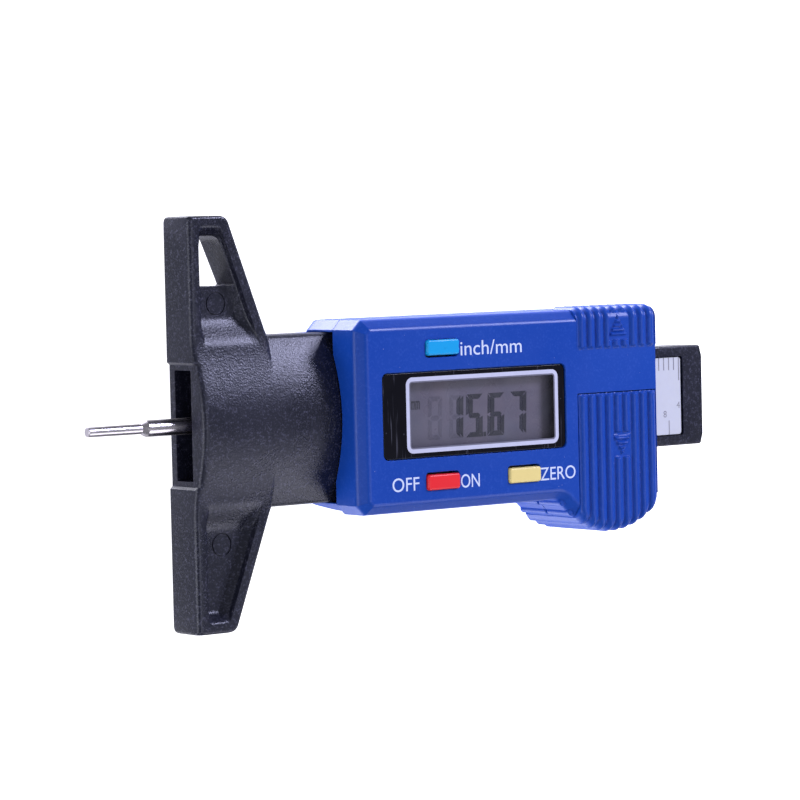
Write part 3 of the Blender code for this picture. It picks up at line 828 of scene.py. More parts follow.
def makeBaseCasting():
    # columns run from the pads to the neck, rows from tip to tip; steps are finest where the surface turns
    rows = [0, 0.05, 0.12, 0.22, 0.35, 0.5, 0.75, 1.0, 1.25, 1.5, 1.65, 1.8, 2.0, 2.2, 2.4, 2.6]
    heights = [casting["tipY"] - step for step in rows]
    while heights[-1] > 16.0:
        heights.append(heights[-1] - 0.4)
    while heights[-1] > 12.25:
        heights.append(heights[-1] - 0.18)
    heights += [casting["neckY"] - step for step in (0, 0.04, 0.1, 0.18, 0.3, 0.42, 0.55, 0.8, 1.1)]
    while heights[-1] > 9.1:
        heights.append(heights[-1] - 0.3)
    heights += [8.75, 8.66, 8.57, 8.48, 8.4, 8.1, 7.7, 7.2, 6.6, 6.0, 5.2, 4.4, 3.5, 2.6, 1.7, 0.8]
    ys = heights + [-y for y in reversed(heights)]

    fromLeft = [0, 0.03, 0.08, 0.16, 0.27, 0.4, 0.55, 0.8, 1.2, 1.7, 1.9, 2.0, 2.1, 2.2, 2.3, 2.4, 2.5, 2.7]
    fromRight = [0, 0.04, 0.1, 0.2, 0.33, 0.5, 0.7, 1.0, 1.4, 1.75, 1.85, 1.9, 1.95, 2.0, 2.06, 2.2, 2.6]
    fromRight += [3.0, 3.15, 3.3]
    middle = 10
    fullWidth = 6.6  # a narrower row draws its steps together
    neckSteps = [0.1, 0.2, 0.32, 0.45, 0.6, 0.8, 1.05, 1.35, 1.7, 2.1, 2.6, 3.2]
    neckCount = 34
    front, back = [], []
    wingColumns = len(fromLeft) + middle + len(fromRight) - 1
    for y in ys:
        left, right = castingLeft(y), castingRight(y)
        width = right - left
        shrink = min(1.0, width / fullWidth)
        start, stop = fromLeft[-1] * shrink, width - fromRight[-1] * shrink
        xs = [left + step * shrink for step in fromLeft]
        xs += [left + start + (stop - start) * k / (middle + 1) for k in range(1, middle + 1)]
        xs += [right - step * shrink for step in reversed(fromRight)]
        anchorX = castingRight(min(abs(y), casting["neckY"]))
        neckXs = [anchorX + step for step in neckSteps]
        rest = neckXs[-1]
        neckXs += [rest + (casting["neckEnd"] - rest) * k / neckCount for k in range(1, neckCount + 1)]
        frontRow = [(x, y, castingFront(x, y)) for x in xs]
        onNeck = abs(y) <= casting["neckY"]
        backRow = [(x, y, castingBack(x, y, onNeck)) for x in xs]
        frontRow += [(x, y, castingFront(x, y) if onNeck else 0.0) for x in neckXs]
        backRow += [(x, y, casting["backZ"]) for x in neckXs]
        front.append(frontRow)
        back.append(backRow)

    def keepCell(j, i):
        return i < wingColumns or max(abs(ys[j]), abs(ys[j + 1])) <= casting["neckY"] + 1e-6

    piece = newPiece("baseCasting", slab(front, back, keepCell), blackNylon)

    cutX, cutY = casting["beamCut"]
    end, half = casting["beamEnd"], casting["beamY"]
    start = casting["neckEnd"] - 1
    outline = [(start, -half), (end - cutX, -half), (end, -half + cutY), (end, half - cutY),
               (end - cutX, half), (start, half)]
    fuse(piece, softenEdges(prism(outline, *casting["beamZ"]), casting["beamSoft"], 3, 40))

    # slot for the probe, groove under the beam, pocket for the label, hole in the upper wing
    low, high = casting["beamZ"]
    neckEnd = casting["neckEnd"]
    slotHalf, groove, pocketHalf = casting["slotY"], casting["grooveY"], casting["pocketY"]
    carve(piece, block(casting["faceX"] - 1, neckEnd + 0.02, -slotHalf, slotHalf, *casting["slotZ"]))
    carve(piece, block(neckEnd - 0.5, casting["grooveEnd"], -groove, groove, low - 0.5, casting["grooveZ"]))
    pocket = rectangle(neckEnd + 0.3, casting["pocketEnd"], -pocketHalf, pocketHalf)
    soft = casting["pocketRound"]
    carve(piece, prism(roundedOutline(pocket, (0, soft, soft, 0)), casting["pocketZ"], high + 1))
    hole = roundedOutline(casting["hole"], casting["holeRadii"])
    holeLeft, holeRight = casting["hole"][0][0], casting["hole"][1][0]
    wider = [(x + casting["holeDraft"] * (x - holeLeft) / (holeRight - holeLeft), y) for x, y in hole]
    carve(piece, taperedPrism(wider, hole, casting["backZ"] - 0.5, casting["wingZ"] + 0.5))

    # witness ring of an ejector pin on the floor of each recess
    inside = casting["ejectorRadius"] - casting["ejectorGroove"]
    outside = casting["ejectorRadius"] + casting["ejectorGroove"]
    floor = casting["wingZ"] - casting["recessDepth"]
    bottom = floor - casting["ejectorDepth"]
    profile = [(inside, bottom), (outside, bottom), (outside, floor + 0.9), (inside, floor + 0.9)]
    x, y = casting["ejector"]
    for sign in (1, -1):
        carve(piece, moved(turned(profile, 48, ring=True), x, sign * y, 0))
    shade(piece, 38, weighted=False)
    return settle(piece, "base", "black_nylon", "base_frame")


makeBaseCasting()
print("base casting ready")


# scale label on the beam, with millimetre and inch marks
label = {
    "round": 0.45, "ink": 0.012, "tick": 0.19, "digitHeight": 1.05,
    "topAt": 49.95, "topPitch": 1.0, "topTick": 1.9, "longTick": 3.5, "longEvery": 5,
    "lowAt": 47.85, "lowPitch": 6.35, "lowTick": 2.15,
    "topNumbers": "4321", "topNumberPitch": 10.0, "topNumberAt": (-0.55, -1.9),
    "lowNumbers": "8642", "lowNumberAt": (-1.15, 2.65),  # the height is from the label's lower edge
}


def textMesh(words, height, thick, narrow=1.0):
    # printed letters in Blender's own font as one closed mesh, standing on the origin
    curve = bpy.data.curves.new("words", "FONT")
    curve.body = words
    curve.size = 1.0
    curve.extrude = 0.5
    curve.resolution_u = 6
    holder = placeObject("words", curve)
    mesh = bmesh.new()
    mesh.from_mesh(evaluatedMesh(holder))
    bpy.data.objects.remove(holder, do_unlink=True)
    bmesh.ops.remove_doubles(mesh, verts=mesh.verts, dist=1e-5)
    capHeight = 0.73  # of the font, at size 1
    scale = height / capHeight
    for vert in mesh.verts:
        vert.co = Vector((vert.co.x * scale * narrow, vert.co.y * scale, (vert.co.z + 0.5) * thick)) * mm
    bmesh.ops.recalc_face_normals(mesh, faces=mesh.faces)
    return mesh


def joinInto(mesh, *others):
    # add the closed bodies of other meshes to a mesh
    for other in others:
        data = bpy.data.meshes.new("part")
        other.to_mesh(data)
        other.free()
        mesh.from_mesh(data)
        bpy.data.meshes.remove(data)
    return mesh


def makeScaleLabel():
    low, high = boxOf("scale_label")
    soft = label["round"]
    outline = roundedOutline(rectangle(low.x, high.x, low.y, high.y), (0, soft, soft, 0))
    film = newPiece("scaleLabel", bevelLevel(prism(outline, low.z, high.z), high.z, 0.05, 2), labelFilm)
    shade(film)
    settle(film, "base", "label_white", "scale_label")

    # marks and numbers are thin ink that stands on the film
    marks = bmesh.new()
    inkLow, inkHigh = high.z - 0.01, high.z + label["ink"]
    topEdge, lowEdge = high.y - 0.02, low.y + 0.02
    half = label["tick"] / 2
    x = label["topAt"]
    index = 0
    while x > low.x + 1:
        length = label["topTick"] if index % label["longEvery"] else label["longTick"]
        joinInto(marks, block(x - half, x + half, topEdge - length, topEdge, inkLow, inkHigh))
        x -= label["topPitch"]
        index += 1
    x = label["lowAt"]
    while x > low.x + 1:
        joinInto(marks, block(x - half, x + half, lowEdge, low.y + label["lowTick"], inkLow, inkHigh))
        x -= label["lowPitch"]
    settle(newPiece("scaleMarks", marks, scaleInk), "base", "label_white")

    numbers = bmesh.new()
    lowX, lowY = label["lowNumberAt"]
    topX, topY = label["topNumberAt"]
    rows = ((label["lowNumbers"], label["lowAt"] + lowX, low.y + lowY, label["lowPitch"]),
            (label["topNumbers"], label["topAt"] + topX, topY, label["topNumberPitch"]))
    for values, x, y, pitch in rows:
        for value in values:
            joinInto(numbers, moved(textMesh(value, label["digitHeight"], label["ink"] + 0.01), x, y, inkLow))
            x -= pitch
    settle(newPiece("scaleNumbers", numbers, scaleInk), "base", "label_white")


makeScaleLabel()
print("scale label ready")


# blue housing: outline with chamfered corners and the round battery bulge
shell = {
    "left": -14.7, "right": 41.05, "half": 13.75, "top": 13.8, "parting": 7.8, "seam": 0.12,
    "corner": 1.4, "cornerSoft": 1.0, "rightRound": 1.7, "backRound": 2.4, "soft": 0.22,
    "bulge": (32.2, -5.9), "bulgeRadius": 12.7, "bulgeFillet": 2.0, "bulgeStop": 40.85,
    "wallFront": 12.3, "wallBack": 1.05, "inner": (-13.2, 39.5, 12.3), "mouth": 12.1,
    "cornerCut": ((-16.0, -11.8), (-9.4, -13.87), (-16.0, -13.87)),
    "window": (-10.695, 23.055, 6.15), "windowRound": 0.9, "flare": 0.12, "ledge": 12.75,
    "viewHalf": (15.9, 5.5),
    "coverLeft": 25.43, "coverRight": 40.4, "coverTop": 1.45, "coverGap": 0.16, "coverPlate": 12.9,
    "coverWall": 1.25, "seatLeft": 25.0, "seatWall": (24.3, -8.1), "latch": (28.7, 37.1, 2.85),
    "guide": 9.0, "rail": (4.4, 5.6), "railStart": 16.0, "archHalf": 8.85, "archGap": 0.16, "beamGap": 0.3,
    "screws": ((21.8, 10.4), (37.4, 10.4), (21.8, -10.9)), "boss": 2.0, "screwHole": 1.0,
    "screwHead": 1.75, "headDepth": 1.7,
    "flankRibs": (22.9, 24.5), "flankRib": 0.62, "flankRibZ": (1.7, 12.9),
}
keys = {
    # body: centre x, centre y, finish, slot, CAD node
    "off_on_key": (-0.2, -9.65, redKey, "red_key", "off_on_button"),
    "zero_key": (14.85, -9.6, yellowKey, "yellow_key", "zero_button"),
    "unit_key": (0.12, 9.45, cyanKey, "cyan_key", "unit_button"),
}
keyShape = {
    "length": 5.85, "width": 2.2, "height": 14.22, "round": 0.4, "edge": 0.3, "draft": 0.03,
    "sideGap": 0.08, "edgeGap": 0.17, "shift": 0.14, "rim": 0.08,
    "flange": (0.5, 0.4), "flangeHigh": 0.45,
}


def bulgeEdge(x, shrink=0.0):
    centreX, centreY = shell["bulge"]
    radius = shell["bulgeRadius"] - shrink
    return centreY - math.sqrt(max(radius ** 2 - (x - centreX) ** 2, 0.0))


def shellOutline(inset=0.0, share=1.0):
    # outline of the housing from the front, drawn in by an inset, and at its right end by a share of that
    left, right, half = shell["left"] + inset, shell["right"] - inset * share, shell["half"] - inset
    cornerLoss = 0.586  # of a cut corner's leg for each millimetre of inset
    corner = max(shell["corner"] - cornerLoss * inset, 0.1)
    centreX, centreY = shell["bulge"]
    radius = shell["bulgeRadius"] - inset
    hollow = shell["bulgeFillet"] + inset
    drop = -half - hollow - centreY
    hollowX = centreX - math.sqrt((radius + hollow) ** 2 - drop ** 2)
    meet = math.degrees(math.atan2(drop, hollowX - centreX))
    leave = math.degrees(math.acos((shell["bulgeStop"] - centreX) / shell["bulgeRadius"]))
    soft = min(shell["soft"], corner / 3)
    turnRound = max(shell["rightRound"] - inset, 0.15)

    points = roundedOutline([(left + corner, half), (left, half - corner), (left, -half + corner),
                             (left + corner, -half), (right, -half), (right, half)],
                            [soft, soft, soft, soft, 0, 0], 4)[:-2]
    points += arc(hollowX, -half - hollow, hollow, 90, meet + 180, 8)
    points += arc(centreX, centreY, radius, meet, -leave, 40)[1:]
    points.append((right, bulgeEdge(shell["bulgeStop"]) + shell["corner"]))
    points += arc(right - turnRound, half - turnRound, turnRound, 0, 90, 8)
    return points


def stacked(levels, share=1.0):
    # the housing outline lofted through (height, inset) levels
    mesh = bmesh.new()
    rings = []
    for z, inset in levels:
        outline = shellOutline(inset, share)
        rings.append([mesh.verts.new((x * mm, y * mm, z * mm)) for x, y in outline])
    for first, second in zip(rings, rings[1:]):
        joinRings(mesh, first, second)
    mesh.faces.new(rings[0])
    mesh.faces.new(rings[-1])
    return outward(mesh)


def softChamfer(face, size, soft):
    # (height, inset) levels up a side and over a 45 degree chamfer with both its edges rounded
    turn = soft * math.tan(math.radians(22.5))
    levels = []
    for k in range(5):
        angle = math.radians(45 * k / 4)
        levels.append((face - size - turn + soft * math.sin(angle), soft * (1 - math.cos(angle))))
    return levels + [(face - inset, face - z) for z, inset in reversed(levels)]


def flankRib(x, low, high):
    # one of the rounded ridges that stand on the flank of the bulge
    ridge = disc(x, bulgeEdge(x, 0.25), shell["flankRib"], low, high, 24)
    return bevelLevel(bevelLevel(ridge, high, 0.3, 3), low, 0.3, 3)


def makeFrontShell():
    top, parting = shell["top"], shell["parting"]
    levels = [(parting, 0.0)] + softChamfer(top, shell["corner"], shell["cornerSoft"])
    piece = newPiece("frontShell", stacked(levels, 0.25), blueShell)
    for x in shell["flankRibs"]:
        fuse(piece, flankRib(x, parting, shell["flankRibZ"][1]))

    left, right, inner = shell["inner"]
    front, guide = shell["wallFront"], shell["guide"]
    carve(piece, block(left, right, -inner, inner, parting - 1, front))
    seatLeft = shell["seatLeft"]
    fuse(piece, block(seatLeft, right + 0.2, -guide, shell["coverTop"] + 1.8, front - 0.4, front + 0.2))
    wallLeft, wallHigh = shell["seatWall"]
    fuse(piece, block(wallLeft, right + 0.2, -guide, wallHigh, parting + 0.05, front + 0.1))

    # arch over the neck, way out for the beam
    span = shell["archHalf"]
    arch = [(-span, parting - 1), (span, parting - 1)]
    steps = 32
    for i in range(steps + 1):
        y = span - 2 * span * i / steps
        arch.append((y, crownAt(y) + shell["archGap"]))
    carve(piece, prismAlongX(arch, shell["left"] - 1, left + 0.2))
    way = casting["beamY"] + shell["beamGap"]
    carve(piece, block(right - 0.3, shell["right"] + 1, -way, way, parting - 1,
                       casting["beamZ"][1] + shell["beamGap"]))

    # display window and the ledge that holds the lens
    x0, x1, half = shell["window"]
    window = rectangle(x0, x1, -half, half, shell["windowRound"])
    flare = shell["flare"]
    flared = rectangle(x0 - flare, x1 + flare, -half - flare, half + flare, shell["windowRound"] + flare)
    carve(piece, prism(window, shell["ledge"], top + 1), taperedPrism(window, flared, top - 0.1, top + 0.02))
    centre = (x0 + x1) / 2
    viewX, viewY = shell["viewHalf"]
    carve(piece, block(centre - viewX, centre + viewX, -viewY, viewY, front - 0.5, top))

    for x, y, *others in keys.values():
        carve(piece, *keyOpening(x, y))

    # seat of the battery cover and the bay below it
    gap, plate, seatHigh = shell["coverGap"], shell["coverPlate"], shell["coverTop"]
    x0, x1 = shell["coverLeft"] - gap, shell["coverRight"] + gap
    latchLeft, latchRight, latchHigh = shell["latch"]
    carve(piece, block(x0, x1, -20, seatHigh + gap, plate - 0.2, top + 2))
    carve(piece, block(latchLeft, latchRight, seatHigh, latchHigh, plate - 0.2, plate + 0.5))
    carve(piece, block(x0, x1, -20, -guide, parting - 1, top + 2))
    for x, y in shell["screws"]:
        fuse(piece, disc(x, y, shell["boss"] - 0.2, parting + 0.05, front + 0.1, 32))
        carve(piece, disc(x, y, shell["screwHole"] - 0.05, parting - 1, front - 0.6, 32))
    fuse(piece, ribPatch(upperGrip, upperGripPath, 0.5))
    shade(piece, 28)
    return settle(piece, "slider", "blue_shell", "front_housing")


def keyOpening(x, y):
    # a little wider on the side towards the display, with a broken edge
    middle = y - math.copysign(keyShape["shift"], y)
    length = keyShape["length"] / 2 + keyShape["sideGap"]
    width = keyShape["width"] / 2 + keyShape["edgeGap"]
    rim = keyShape["rim"]
    corner = keyShape["round"] + 0.1
    hole = around(x, middle, length, width, corner)
    flared = around(x, middle, length, width, corner + rim, rim)
    top = shell["top"]
    yield prism(hole, shell["wallFront"] - 0.6, top + 1)
    yield taperedPrism(hole, flared, top - rim, top + 0.02)


# finger grips: rounded ribs on a face that turns over an edge
grips = {
    "pitch": 1.663, "height": 0.46, "valley": 0.03, "share": 0.86, "clearEdge": 0.25, "arrowHeight": 0.85,
}
upperGrip = {
    "x": (25.35, 40.62), "step": 0.11, "first": 25.43, "start": 7.95, "fadeIn": 0.5, "arrowX": 33.25,
    "arrow": (9.75, 12.85), "arrowHalf": 1.75, "arrowRib": 0.62, "clear": (31.4, 35.15, 9.3, 13.1),
    "edge": 1.55,
}
lowerGrip = {
    "x": (25.43, 40.4), "step": 0.11, "first": 25.43, "start": 1.45, "fadeIn": 0.4, "arrowX": 33.7,
    "arrow": (-7.75, -4.85), "arrowHalf": 1.7, "arrowRib": 0.7, "clear": (31.9, 35.4, -8.0, -4.5),
    "edge": 1.5,
}


def ribHeight(grip, x, y, run):
    # how far the skin stands out at x and y; run is the way along the path from its start
    share = ((x - grip["first"]) / grips["pitch"]) % 1.0
    rib = max(0.0, math.cos((share - 0.5) * math.pi / grips["share"])) ** 0.8
    fade = smoothStep(0.0, grip["fadeIn"], run)
    x0, x1, y0, y1 = grip["clear"]
    edge = grips["clearEdge"]
    within = smoothStep(x0 - edge, x0, x) * (1 - smoothStep(x1, x1 + edge, x))
    within *= smoothStep(y0 - edge, y0, y) * (1 - smoothStep(y1, y1 + edge, y))
    low, high = grip["arrow"]
    toApex = (y - low) / (high - low)
    if low < 0:  # this arrow points down
        toApex = 1 - toApex
    width = grip["arrowHalf"] * (1 - toApex)
    arrow = 0.0
    if 0 <= toApex <= 1:
        body = 1 - smoothStep(width - 0.12, width + 0.05, abs(x - grip["arrowX"]))
        ridge = 0.55 + 0.45 * math.cos(2 * math.pi * (y - low) / grip["arrowRib"] + math.pi)
        arrow = body * ridge
    pattern = rib * fade * (1 - within) + grips["arrowHeight"] * arrow * within
    return grips["valley"] + grips["height"] * pattern


def upperGripPath(x):
    # (y, z, normal y, normal z, run) down the front, over the edge and onto the side
    grip = upperGrip
    top, half, radius = shell["top"], shell["half"], grip["edge"]
    points = []
    y = grip["start"]
    while y < half - radius - 0.05:
        points.append((y, top, 0, 1, y - grip["start"]))
        y += 0.12
    flat = half - radius - grip["start"]
    for k in range(15):
        angle = math.radians(90 - 90 * k / 14)
        ny, nz = math.cos(angle), math.sin(angle)
        points.append((half - radius + radius * ny, top - radius + radius * nz, ny, nz,
                       flat + radius * math.radians(90 * k / 14)))
    z = top - radius
    while z > shell["parting"] + 0.5:
        z -= 0.4
        points.append((half, z, 1, 0, flat + radius * math.pi / 2 + (top - radius - z)))
    return points


def lowerGripPath(x):
    # the same for the battery cover, whose side follows the bulge
    grip = lowerGrip
    top, radius = shell["top"], grip["edge"]
    low = bulgeEdge(x)
    points = []
    count = 150
    flatEnd = low + radius
    for k in range(count):
        y = grip["start"] + (flatEnd - grip["start"]) * k / count
        points.append((y, top, 0, 1, grip["start"] - y))
    flat = grip["start"] - flatEnd
    for k in range(13):
        angle = math.radians(90 + 90 * k / 12)
        ny, nz = math.cos(angle), math.sin(angle)
        points.append((flatEnd + radius * ny, top - radius + radius * nz, ny, nz,
                       flat + radius * math.radians(90 * k / 12)))
    back = shell["wallBack"] + 0.2
    for k in range(1, 16):
        z = top - radius + (back - top + radius) * k / 15
        points.append((low, z, -1, 0, flat + radius * math.pi / 2 + top - radius - z))
    return points


def ribPatch(grip, path, thick, inner=None):
    # ribbed skin along a path, with a plain back or one that inner gives
    x0, x1 = grip["x"]
    count = round((x1 - x0) / grip["step"])
    front, back = [], []
    for i in range(count + 1):
        x = x0 + (x1 - x0) * i / count
        frontRow, backRow = [], []
        for y, z, ny, nz, run in path(x):
            lift = ribHeight(grip, x, y if nz > 0.05 else grip["start"], run)
            frontRow.append((x, y + ny * lift, z + nz * lift))
            if inner is None:
                backRow.append((x, y - ny * thick, z - nz * thick))
            else:
                backRow.append((x, *inner(x, y, z, ny, nz)))
        front.append(frontRow)
        back.append(backRow)
    return slab(front, back)


def makeRearShell():
    high = shell["parting"] - shell["seam"]
    radius = shell["backRound"]
    levels = [(high, 0.0)]
    for k in range(8):
        angle = math.radians(90 * k / 7)
        levels.append((radius * (1 - math.sin(angle)), radius * (1 - math.cos(angle))))
    piece = newPiece("rearShell", stacked(levels), blueShell)
    for x in shell["flankRibs"]:
        fuse(piece, flankRib(x, shell["flankRibZ"][0], high - 0.02))
    left, right, inner = shell["inner"]
    back, guide = shell["wallBack"], shell["guide"]
    top = shell["parting"] + 1
    mouth = shell["mouth"]
    carve(piece, block(left, right, -inner, inner, back, top))
    carve(piece, block(shell["left"] - 1, left + 0.5, -mouth, mouth, back, top))
    carve(piece, prism(shell["cornerCut"], -1, top))
    gap = shell["coverGap"]
    carve(piece, block(shell["coverLeft"] - gap, shell["coverRight"] + gap, -20, -guide, back, top))
    way = casting["beamY"] + shell["beamGap"]
    floorZ = casting["beamZ"][0] - shell["beamGap"]
    carve(piece, block(right - 0.3, shell["right"] + 1, -way, way, floorZ, top))
    guideTop = casting["beamZ"][1] - 1.3
    railLow, railHigh = shell["rail"]
    guides = ((way + 0.3, guide, guideTop), (-guide, -way, guideTop),
              (railLow, railHigh, floorZ), (-railHigh, -railLow, floorZ))
    for y0, y1, height in guides:
        fuse(piece, block(shell["railStart"], right + 0.2, y0, y1, back - 0.1, height))
    for x, y in shell["screws"]:
        fuse(piece, disc(x, y, shell["boss"], back - 0.1, shell["parting"] - 0.3, 32))
        carve(piece, disc(x, y, shell["screwHole"], -1, shell["parting"] + 1, 32))
        carve(piece, disc(x, y, shell["screwHead"], -1, shell["headDepth"], 40))
    shade(piece, 28)
    return settle(piece, "slider", "blue_shell", "rear_housing")


def makeBatteryCover():
    plate = shell["coverPlate"]
    radius = 0.3

    def inner(x, y, z, ny, nz):
        # underside: flat below the plate, then down inside the wall
        if nz > 0.999:
            return y, plate
        low = bulgeEdge(x) + shell["coverWall"]
        share = math.degrees(math.atan2(-ny, max(nz, 0.0))) / 90
        if z > shell["top"] - lowerGrip["edge"] - 1e-6:
            angle = math.radians(90 + 90 * share)
            return low + radius + radius * math.cos(angle), plate - radius + radius * math.sin(angle)
        return low, z - 0.02

    piece = newPiece("batteryCover", ribPatch(lowerGrip, lowerGripPath, 0.9, inner), blueShell)
    shade(piece, 40, weighted=False)
    return settle(piece, "cover", "blue_shell", "battery_cover")


makeFrontShell()
print("front shell ready")
makeRearShell()
makeBatteryCover()
print("rear shell and battery cover ready")


# display: printed lens, clear pane, segments on the glass
display = {
    "frame": (-6.38, 21.68, 5.38), "frameRound": 1.1, "line": 0.58, "thinLine": 0.2, "ink": 0.012,
    "paneLow": 13.05, "paneHigh": 13.5, "paneGap": 0.02,
    "digitWidth": 2.55, "digitHeight": 6.15, "stroke": 0.7, "slant": 0.035, "joint": 0.09,
    "base": -3.75, "digits": (("1", 2.35), ("5", 5.95), ("6", 9.95), ("7", 14.1)), "point": (8.72, 0.62),
    "resting": (("8", -1.55), ("8", 2.35)), "shadowShift": -0.55,
    "unit": (-4.5, 0.7, 2.0), "unitNarrow": 0.4,
    "shadowRise": 0.008, "restingRise": 0.02, "litRise": 0.03,  # over the glass
}
segmentsOf = {"1": "bc", "5": "afgcd", "6": "afgecd", "7": "abcf", "8": "abcdefg"}


def segmentOutline(which, width, height, stroke, joint):
    # one bar of a seven-segment digit, mitred at its ends
    mid = height / 2
    outer, inner = joint, stroke + joint
    shapes = {
        "a": [(outer, height), (width - outer, height), (width - inner, height - stroke),
              (inner, height - stroke)],
        "d": [(outer, 0), (inner, stroke), (width - inner, stroke), (width - outer, 0)],
        "g": [(joint + stroke / 2, mid), (inner, mid + stroke / 2), (width - inner, mid + stroke / 2),
              (width - joint - stroke / 2, mid), (width - inner, mid - stroke / 2),
              (inner, mid - stroke / 2)],
    }
    side = [(0, height - outer), (stroke, height - inner), (stroke, mid + stroke / 2 + joint),
            (0, mid + joint)]
    shapes["f"] = side
    shapes["b"] = [(width - x, y) for x, y in side]
    shapes["e"] = [(x, height - y) for x, y in side]
    shapes["c"] = [(width - x, height - y) for x, y in side]
    return shapes[which]


def digitMesh(mesh, digit, left, low, high, skip=""):
    for which in segmentsOf[digit]:
        if which in skip:
            continue
        points = segmentOutline(which, display["digitWidth"], display["digitHeight"], display["stroke"],
                                display["joint"])
        points = [(left + x + y * display["slant"], display["base"] + y) for x, y in points]
        joinInto(mesh, prism(points, low, high))


def frameShape(inset, radius, low, high, count=6):
    # the printed frame's outline drawn in by an inset
    x0, x1, half = display["frame"]
    return prism(rectangle(x0 + inset, x1 - inset, -half + inset, half - inset, radius, count), low, high)


def makeDisplay():
    low, high = boxOf("display_lens")
    line = display["line"]
    thin = line + display["thinLine"]
    bezel = prism(rectangle(low.x, high.x, low.y, high.y, shell["windowRound"] - 0.1), low.z, high.z)
    plate = newPiece("displayBezel", bevelLevel(bezel, high.z, 0.08, 2), bezelBlack)
    carve(plate, frameShape(line, 0.3, low.z - 1, high.z + 1))
    shade(plate)
    settle(plate, "slider", "lens_black", "display_lens")

    printed = frameShape(0, display["frameRound"], high.z - 0.02, high.z + display["ink"], 10)
    frame = newPiece("frameLine", printed, frameInk)
    carve(frame, frameShape(line, 0.5, low.z, high.z + 1))
    shade(frame)
    settle(frame, "slider", "lens_black")
    rim = newPiece("innerLine", frameShape(line, 0.45, high.z - 0.03, high.z - 0.01), thinInk)
    carve(rim, frameShape(thin, 0.3, low.z, high.z + 1))
    settle(rim, "slider", "lens_black")

    paneHigh = display["paneHigh"]
    pane = frameShape(line + display["paneGap"], 0.28, display["paneLow"], paneHigh)
    clear = newPiece("clearPane", bevelLevel(pane, paneHigh, 0.05, 2), clearAcrylic)
    shade(clear)
    settle(clear, "slider", "lens_black")

    # bars that are on, their shadows on the back of the glass, and faint bars that are off
    glassTop = boxOf("display_panel")[1].z
    lit, shadows, resting = bmesh.new(), bmesh.new(), bmesh.new()
    litLow = glassTop + display["litRise"]
    shadowLow = glassTop + display["shadowRise"]
    restingLow = glassTop + display["restingRise"]
    shift = display["shadowShift"]
    for digit, left in display["digits"]:
        skip = "f" if digit == "7" else ""
        digitMesh(lit, digit, left, litLow, litLow + 0.015, skip)
        digitMesh(shadows, digit, left + shift, shadowLow, shadowLow + 0.008, skip)
    x, size = display["point"]
    base = display["base"]
    joinInto(lit, block(x, x + size * 0.7, base, base + size, litLow, litLow + 0.01))
    x += shift
    joinInto(shadows, block(x, x + size * 0.7, base, base + size, shadowLow, shadowLow + 0.01))
    x, y, height = display["unit"]
    joinInto(lit, moved(textMesh("mm", height, 0.012, display["unitNarrow"]), x, y, litLow))
    for digit, left in display["resting"]:
        digitMesh(resting, digit, left, restingLow, restingLow + 0.006)
    for name, mesh, material in (("litSegments", lit, litSegment), ("segmentShadows", shadows, shadowSegment),
                                 ("restingSegments", resting, restingSegment)):
        settle(newPiece(name, mesh, material), "slider", "display_glass")


makeDisplay()
print("display ready")


# keys and their legends
def makeKey(body, x, y, material, slotName, node):
    low = boxOf(node)[0].z
    top = keyShape["height"]
    length, width = keyShape["length"] / 2, keyShape["width"] / 2
    outline = around(x, y, length, width, keyShape["round"])
    wider = around(x, y, length, width, keyShape["round"], keyShape["draft"])
    cap = bevelLevel(taperedPrism(wider, outline, low + 0.3, top), top, keyShape["edge"], 5)
    name = slotName.split("_")[0]
    piece = newPiece(name + "Key", cap, material)
    shade(piece, 35)
    settle(piece, body, slotName, node)

    # black flange that holds the cap under the opening; its black is painted shade for the gap round the key
    growLength, growWidth = keyShape["flange"]
    flangeTop = low + keyShape["flangeHigh"]
    flange = prism(around(x, y, length + growLength, width + growWidth, 0.4), low, flangeTop)
    skirt = newPiece(name + "KeySkirt", bevelLevel(flange, flangeTop, 0.08, 2), blackNylon)
    shade(skirt, 35)
    settle(skirt, body, slotName)


legends = {
    # words: left end, middle y, cap height, width share
    "inch/mm": (3.3, 9.2, 2.16, 1.14),
    "OFF": (-9.45, -9.6, 2.02, 1.03),
    "ON": (2.95, -9.75, 2.02, 0.84),
    "ZERO": (17.85, -9.67, 1.98, 0.98),
}


def makeLegends():
    for words, (left, middle, height, narrow) in legends.items():
        mesh = textMesh(words, height, 0.03, narrow)
        moved(mesh, left, middle - height / 2, shell["top"] - 0.015)
        name = "legend" + words.split("/")[0].capitalize()
        settle(newPiece(name, mesh, legendInk), "slider", "blue_shell")


for body, values in keys.items():
    makeKey(body, *values)
makeLegends()
print("keys and legends ready")


# probe rod with its thinner tip
probe = {"tipRadius": 0.7, "tipLength": 8.75, "neck": 0.75, "radius": 1.15, "z": 4.7, "end": 33.6}


def makeProbe():
    start = boxOf("probe_rod")[0].x
    tip, radius = probe["tipRadius"], probe["radius"]
    shoulder = start + probe["tipLength"]
    profile = [(tip * 0.55, start), (tip - 0.14, start + 0.03), (tip - 0.05, start + 0.08),
               (tip, start + 0.2), (tip, shoulder), (tip + 0.04, shoulder + 0.05)]
    shoulder += probe["neck"]
    profile += [(radius - 0.05, shoulder), (radius, shoulder + 0.1)]
    profile += [(radius, probe["end"] - 0.3), (radius - 0.25, probe["end"])]
    mesh = turned(profile, 64)
    for vert in mesh.verts:
        vert.co = Vector((vert.co.z, vert.co.x, vert.co.y + probe["z"] * mm))
    piece = newPiece("probeRod", outward(mesh), polishedSteel)
    shade(piece, 25)
    settle(piece, "slider", "polished_steel", "probe_rod")


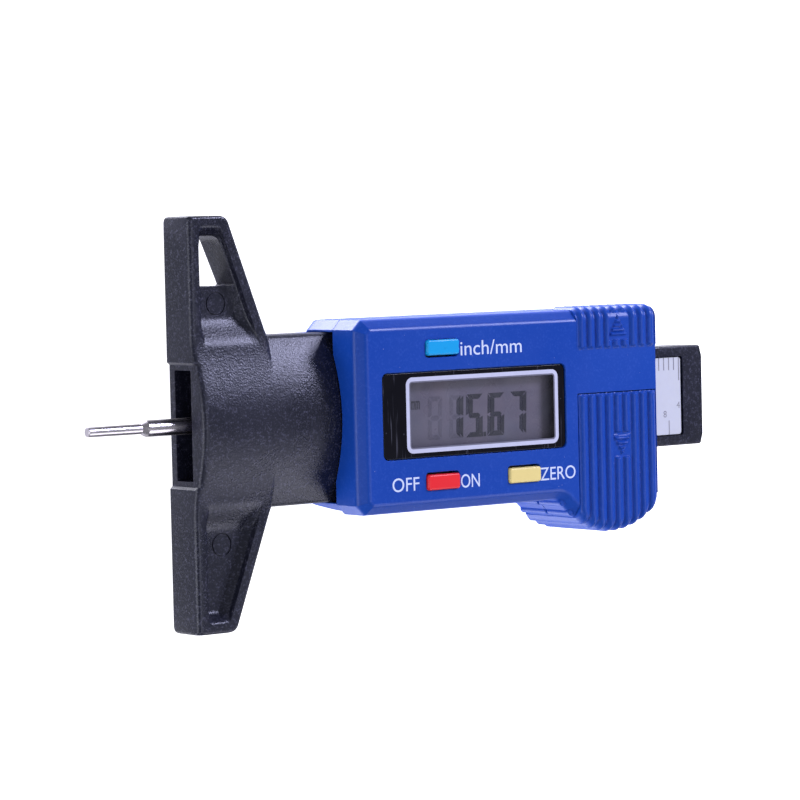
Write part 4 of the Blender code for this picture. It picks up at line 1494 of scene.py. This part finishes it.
# pan-head screws in the back, with a cross recess
screw = {
    "head": 1.6, "low": 0.45, "headTop": 1.5, "shank": 0.8, "end": 11.2,
    "turns": 18, "threadStart": 2.0, "threadStop": 10.6, "thread": 0.12,
    "arm": 0.95, "slot": 0.2, "deep": 0.62,
}


def makeScrews():
    low, head, shank = screw["low"], screw["head"], screw["shank"]
    dome = [(0.35, low - 0.16), (0.8, low - 0.1), (1.2, low + 0.05), (1.47, low + 0.3), (head, low + 0.6)]
    profile = dome + [(head, screw["headTop"]), (shank, screw["headTop"])]
    pitch = (screw["threadStop"] - screw["threadStart"]) / screw["turns"]
    for k in range(screw["turns"]):
        z = screw["threadStart"] + k * pitch
        profile += [(shank - screw["thread"], z), (shank, z + pitch / 2)]
    profile.append((0.3, screw["end"]))
    arm, half = screw["arm"], screw["slot"]
    for index, (x, y) in enumerate(shell["screws"], 1):
        piece = newPiece("housingScrew%d" % index, moved(turned(profile, 40), x, y, 0), zincPlate)
        for ax, ay in ((arm, half), (half, arm)):
            wide, narrow = around(x, y, ax, ay, 0), around(x, y, ax * 0.6, ay * 0.8, 0)
            carve(piece, taperedPrism(wide, narrow, -0.5, low + screw["deep"]))
        shade(piece, 35)
        settle(piece, "slider", "zinc_screw", "housing_screw_%d" % index)


makeProbe()
makeScrews()
print("probe and screws ready")


# pieces that keep their CAD shape get broken edges and a finish
kept = {
    # CAD node: finish, edge width
    "stator_strip": (solderMask, 0.04), "display_panel": (lcdGlass, 0.08),
    "circuit_board": (solderMask, 0.05),
    "upper_zebra_strip": (rubberStrip, 0.05), "lower_zebra_strip": (rubberStrip, 0.05),
    "chip_cover": (chipEpoxy, 0.08), "rod_clamp": (clampBrass, 0.12), "clamp_screw": (zincPlate, 0.05),
    "gib_spring": (springBronze, 0.02), "button_cell": (nickelCan, 0.25),
    "minus_contact": (springBronze, 0.05), "plus_contact": (springBronze, 0.05),
    "off_on_dome_switch": (polishedSteel, 0.03), "zero_dome_switch": (polishedSteel, 0.03),
    "unit_dome_switch": (polishedSteel, 0.03),
}


def dressCadNodes():
    for name, (material, width) in kept.items():
        node = cadNodes[name]
        node.data.materials.clear()
        node.data.materials.append(material)
        merge = node.modifiers.new("flatFaces", "DECIMATE")
        merge.decimate_type = "DISSOLVE"
        merge.angle_limit = math.radians(1)
        edges = node.modifiers.new("brokenEdges", "BEVEL")
        edges.width = width * mm
        edges.segments = 3
        edges.limit_method = "ANGLE"
        edges.angle_limit = math.radians(40)
        even = node.modifiers.new("evenShading", "WEIGHTED_NORMAL")
        even.keep_sharp = True


dressCadNodes()
print("inner pieces dressed")
